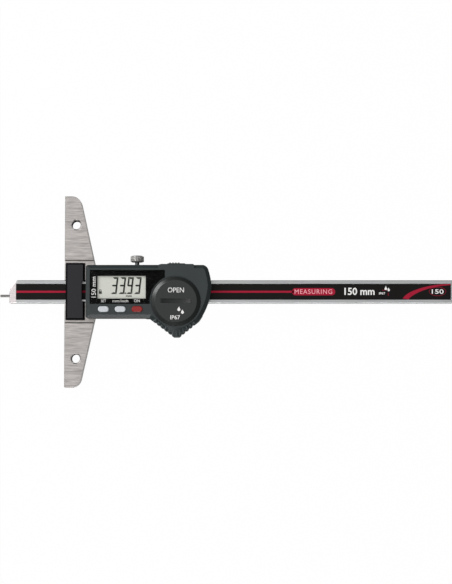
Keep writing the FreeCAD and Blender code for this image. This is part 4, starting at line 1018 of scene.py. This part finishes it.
store = fan.node("GeometryNodeCaptureAttribute")
fan.join(teeth.outputs["Geometry"], store.inputs["Geometry"])
store.capture_items.new("FLOAT", "Bearing")
store.capture_items.new("FLOAT", "Run")
fan.join(bearing, store.inputs["Bearing"])
fan.join(run, store.inputs["Run"])
fan.join(store.outputs["Geometry"], place_teeth.inputs["Geometry"])
fan.join(place_teeth.outputs["Geometry"], lay.inputs["Points"])
tilt_up = fan.math("MULTIPLY", fan.math("ARCTANGENT", fan_slope, 0.0), -0.75)
fan.join(fan.vector(0.0, tilt_up, store.outputs["Bearing"]), lay.inputs["Rotation"])
fan.join(fan.vector(store.outputs["Run"], 1.0, 1.0), lay.inputs["Scale"])
# The ridges are painted lighter than the housing, as a painted highlight.
ridge_highlight_surface = Surface("thumb ridges, painted lighter as highlight", seen(74, 82, 84), 0.4, specular=0.5)
ridge_highlight_surface.vary(ridge_highlight_surface.noise((3800, 3800, 3800), 4), 0.1)
grip_ridges = fan.grown(lay.outputs["Instances"], "grip_ridges", ridge_highlight_surface.material, edge_mm=0.05)
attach(grip_ridges, "instrument")

settled(shell, 0.2)
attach(shell, "instrument")
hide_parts("housing")
stand_in("housing_screws", "housing_screw_pair", screw_steel, 0.05, "instrument")


# Display lens
# A clear acrylic pane, glued into its recess with a black frame. The frame and the white captions for the
# keys are printed on its underside.

frame_surface = Surface("black frame print", seen(12, 13, 12), 0.4, specular=0.05)
frame_grain = frame_surface.noise((4000, 4000, 4000), 3)
frame_surface.vary(frame_grain, 0.15)
dress("lens_gasket", frame_surface.material)

lens_surface = Surface("clear acrylic", seen(30, 31, 31), 0.06, specular=0.5)
lens_surface.shader.inputs["Alpha"].default_value = 0.04
lens_surface.rough(lens_surface.noise((300, 300, 300), 3), 0.01)
stand_in("display_lens", "lens_pane", lens_surface.material, 0.12, "instrument")

lens_underside_mm = 14.05
captions = [
    written("caption_set", "SET", (19.45, -5.97), lens_underside_mm, 1.42, white_ink, 2.6),
    written("caption_unit", "mm/inch", (25.45, -6.0), lens_underside_mm, 1.42, white_ink, 8.1),
    written("caption_on", "ON", (36.6, -5.97), lens_underside_mm, 1.46, white_ink, 2.9),
    written("caption_range", "150 mm", (16.75, -3.5), lens_underside_mm, 2.3, white_ink, 10.8, turn=math.pi / 2, weight=0.006),
]
for printed in captions:
    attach(printed, "instrument")


# Keys
# Three crowned keys of hard plastic, two light grey and one red, that stand through holes in the housing and
# press on the domes.


def key_plastic(name, colour):
    surface = Surface(name, colour, 0.36, specular=0.4)
    grain = surface.noise((3000, 3000, 3000), 3)
    surface.vary(grain, 0.04)
    surface.rough(grain, 0.05)
    surface.bump(grain, 0.003)
    return surface.material


light_key = key_plastic("key plastic, light grey", seen(206, 210, 214))
red_key = key_plastic("key plastic, red", seen(142, 34, 32))
stand_in("set_button", "key_set", light_key, 0.28, "set_key", segments=3)
stand_in("unit_button", "key_unit", light_key, 0.28, "unit_key", segments=3)
stand_in("on_button", "key_on", red_key, 0.28, "on_key", segments=3)


# Battery and its cover
# A steel coin cell lies under a screwed cap of the same plastic as the housing. A coin turns the cap by its
# slot; the cap's marks are printed in white.

cell_metal = Surface("cell steel, nickel plated", seen(200, 200, 202), 0.26, metallic=1.0)
cell_grain = cell_metal.noise((1200, 1200, 1200), 4)
cell_metal.vary(cell_grain, 0.07)
cell_metal.rough(cell_grain, 0.06)
stand_in("battery", "coin_cell", cell_metal.material, 0.1, "instrument")

cap_surface = Surface("cap polyamide, dark grey", seen(28, 31, 31), 0.3, specular=0.5)
cap_grain = cap_surface.noise((3800, 3800, 3800), 4)
cap_surface.vary(cap_surface.noise((110, 110, 110), 3), 0.08)
cap_surface.rough(cap_grain, 0.06)
cap_surface.bump(cap_grain, 0.01)
# The edges are painted lighter, as wear and as a painted highlight.
cap_surface.wear_and_edge_highlight(0.3, seen(96, 100, 103), 0.4)
cap = stand_in("battery_cover", "battery_cap", cap_surface.material, 0.12, "cover")
spigot_surface = Surface("cap spigot, greased polyamide", seen(28, 31, 31), 0.4, specular=0.5)
spigot_surface.vary(spigot_surface.noise((3800, 3800, 3800), 4), 0.1)
# The coin slot's faces are painted darker than the cap, as shade in the recess.
slot_shade_surface = Surface("cap slot, painted dark as shade", seen(18, 20, 20), 0.32, specular=0.45)
slot_shade_surface.vary(slot_shade_surface.noise((3800, 3800, 3800), 4), 0.1)
cap.data.materials.append(spigot_surface.material)
cap.data.materials.append(slot_shade_surface.material)
for face in cap.data.polygons:
    middle_mm = face.center / MM
    from_axis_mm = middle_mm.xy - Vector(cap_middle_mm)
    if math.hypot(from_axis_mm.x, from_axis_mm.y) < 11.6 and middle_mm.z < 13.8:
        face.material_index = 1
    elif abs(from_axis_mm.x) < 10 and abs(from_axis_mm.y) < 1.3 and middle_mm.z < 16.05:
        face.material_index = 2

cap_top_mm = 16.14
cap_marks = [
    written("cap_mark_battery", "OPEN", (54.1, -1.0), cap_top_mm, 2.5, white_ink, 8.4),
    written("cap_mark_cell", "IP67", (55.5, -15.0), cap_top_mm, 2.15, white_ink, 5.0, weight=0.008),
    drawn("cap_mark_drops", [drop(60.0, -8.3, 1.6, -0.1), drop(61.6, -9.8, 1.55, 0.15)], cap_top_mm, white_ink),
]
for printed in cap_marks:
    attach(printed, "cover")


# Data port cover
# A pull-off plug of the housing's plastic, with a ribbed pad for the fingertip. It covers the gold contacts
# of the data cable's socket.

port_pad_mm = (9.1, 0.5, 4.0)
port_pad_top_mm = 14.4
port_rib_first_mm = 55.2
port_rib_pitch_mm = 1.5
port_rib_mm = (0.85, 0.5, 4.0)
port_rib_height_mm = 11.0

plug = object_from(whole_copy("data_port_cover"), "port_plug", shell_plastic)
pad_mesh = bmesh.new()
bmesh.ops.create_cube(pad_mesh, size=1.0)
pad_mesh.transform(Matrix.Translation((58.4 * MM, 14.95 * MM, 11 * MM)) @ Matrix.Diagonal((0.02, 2 * MM, 0.02, 1)))
reduced(plug, object_from(pad_mesh, "pad_cutter", shell_plastic), "DIFFERENCE")
settled(plug, 0.05)
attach(plug, "port_cover")
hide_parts("data_port_cover")

rib_surface = Surface("port cover rubber, black ribs", seen(30, 31, 32), 0.5, specular=0.2)
rib_surface.vary(rib_surface.noise((3800, 3800, 3800), 3), 0.1)
comb = Growth("port_ribs")
comb_count = comb.size("Ribs", 4, "NodeSocketInt")
comb_pitch = comb.size("Pitch", port_rib_pitch_mm * MM)
comb_sizes = [comb.size(label, value * MM) for label, value in zip(("Rib width", "Rise", "Height"), port_rib_mm)]
comb_line = comb.node("GeometryNodeMeshLine")
comb.join(comb_count, comb_line.inputs["Count"])
comb.join(comb.vector(comb_pitch), comb_line.inputs["Offset"])
comb_line.inputs["Start Location"].default_value = (port_rib_first_mm * MM, (port_pad_top_mm + 0.12) * MM, port_rib_height_mm * MM)
comb_out = comb.node("GeometryNodeInstanceOnPoints")
comb.join(comb_line.outputs["Mesh"], comb_out.inputs["Points"])
comb.join(comb.block(comb_sizes, 0.0, 0.0, 0.0), comb_out.inputs["Instance"])
port_comb = comb.grown(comb_out.outputs["Instances"], "port_plug_ribs", rib_surface.material, edge_mm=0.06)
pad = bmesh.new()
bmesh.ops.create_cube(pad, size=MM)
pad.transform(Matrix.Translation((58.4 * MM, (port_pad_top_mm - port_pad_mm[1] / 2) * MM, port_rib_height_mm * MM)) @ Matrix.Diagonal((*port_pad_mm, 1)))
port_pad = settled(object_from(pad, "port_plug_pad", shell_plastic), 0.06)
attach(port_pad, "port_cover")
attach(port_comb, "port_cover")


# Stage
# A pale floor in a white room with dim walls: a low soft box at the upper left, one far down in front, and a
# camera above the instrument at the photograph's angle. What the camera sees of floor and room is white.


def glow_for(tree, plain, rays, colour, share, target):
    """Mixes a glow into what the named kinds of rays see."""
    paths = tree.nodes.new("ShaderNodeLightPath")
    chosen = paths.outputs[rays[0]]
    for name in rays[1:]:
        either = tree.nodes.new("ShaderNodeMath")
        either.operation = "MAXIMUM"
        tree.links.new(chosen, either.inputs[0])
        tree.links.new(paths.outputs[name], either.inputs[1])
        chosen = either.outputs["Value"]
    scaled = tree.nodes.new("ShaderNodeMath")
    scaled.operation = "MULTIPLY"
    scaled.inputs[1].default_value = share
    tree.links.new(chosen, scaled.inputs[0])
    glow = tree.nodes.new("ShaderNodeEmission" if target.node.type == "OUTPUT_MATERIAL" else "ShaderNodeBackground")
    if isinstance(colour, tuple):
        glow.inputs["Color"].default_value = colour
    else:
        tree.links.new(colour, glow.inputs["Color"])
    mix = tree.nodes.new("ShaderNodeMixShader")
    tree.links.new(scaled.outputs["Value"], mix.inputs[0])
    tree.links.new(plain, mix.inputs[1])
    tree.links.new(glow.outputs[0], mix.inputs[2])
    tree.links.new(mix.outputs["Shader"], target)
    return mix.outputs["Shader"]


floor_surface = Surface("pale floor", (0.8, 0.8, 0.8, 1), 0.9, specular=0.05)
floor_surface.vary(floor_surface.noise((40, 40, 40), 3), 0.01)
floor_tree = floor_surface.tree
floor_out = floor_tree.nodes["Material Output"].inputs["Surface"]
dark_floor = glow_for(floor_tree, floor_surface.shader.outputs["BSDF"], ["Is Glossy Ray"], (0.1, 0.1, 0.1, 1), 0.8, floor_out)
glow_for(floor_tree, dark_floor, ["Is Camera Ray", "Is Transmission Ray"], (1, 1, 1, 1), 0.985, floor_out)
floor_mesh = bmesh.new()
reach = 3.0
for x, y in ((-reach, -reach), (reach, -reach), (reach, reach), (-reach, reach)):
    floor_mesh.verts.new((x, y, -0.0002))
floor_mesh.faces.new(floor_mesh.verts)
floor = object_from(floor_mesh, "floor", floor_surface.material)

world = bpy.data.worlds.new("room")
bpy.context.scene.world = world
world.use_nodes = True
world_tree = world.node_tree
world_out = world_tree.nodes["World Output"].inputs["Surface"]
room = world_tree.nodes["Background"]
room.inputs["Color"].default_value = (1, 1, 1, 1)
room.inputs["Strength"].default_value = 0.55
# The gloss sees a pale ceiling, palest at the upper left, and walls that darken to the right and the front
heading = world_tree.nodes.new("ShaderNodeTexCoord")
facing = world_tree.nodes.new("ShaderNodeVectorMath")
facing.operation = "DOT_PRODUCT"
facing.inputs[1].default_value = (-0.36, 0.24, 0.9)
world_tree.links.new(heading.outputs["Generated"], facing.inputs[0])
walls = world_tree.nodes.new("ShaderNodeMapRange")
walls.inputs["From Min"].default_value = 0.5
walls.inputs["From Max"].default_value = 0.95
walls.inputs["To Min"].default_value = 0.12
walls.inputs["To Max"].default_value = 1.0
world_tree.links.new(facing.outputs["Value"], walls.inputs["Value"])
ceiling = glow_for(world_tree, room.outputs["Background"], ["Is Glossy Ray"], walls.outputs["Result"], 1.0, world_out)
glow_for(world_tree, ceiling, ["Is Camera Ray", "Is Transmission Ray"], (1, 1, 1, 1), 1.0, world_out)


def soft_box(name, place, aim, width, height, power):
    lamp = bpy.data.lights.new(name, "AREA")
    lamp.shape = "RECTANGLE"
    lamp.size, lamp.size_y = width, height
    lamp.energy = power
    holder = bpy.data.objects.new(name, lamp)
    holder.location = place
    holder.rotation_euler = (Vector(aim) - Vector(place)).to_track_quat("-Z", "Y").to_euler()
    bpy.context.scene.collection.objects.link(holder)
    return holder


middle = (0.06, 0, 0)
soft_box("key light", (-0.63, 0.54, 0.41), middle, 0.5, 0.42, 4.8)
soft_box("high light", (-0.48, 0.2, 0.85), middle, 0.25, 0.3, 1.1)
soft_box("rest light", (-0.2, -0.62, 0.72), middle, 0.3, 0.2, 0.7)
soft_box("front light", (0.02, -0.95, 0.1), middle, 0.8, 0.2, 2.3)
soft_box("left light", (-0.95, 0.0, 0.12), middle, 0.5, 0.2, 0.6)

camera_data = bpy.data.cameras.new("camera")
camera_data.sensor_width = 36.0
camera_data.lens = 118.06
camera_data.clip_start = 0.05
camera_data.clip_end = 20.0
camera = bpy.data.objects.new("camera", camera_data)
target = Vector((84.29, -0.24, 8.0)) * MM
tilt = math.radians(3.97)
distance = 1.0
camera.location = target + Vector((0, -math.sin(tilt), math.cos(tilt))) * distance
camera.rotation_euler = (tilt, 0, 0)
bpy.context.scene.collection.objects.link(camera)
bpy.context.scene.camera = camera
bpy.context.scene.view_settings.view_transform = "Standard"
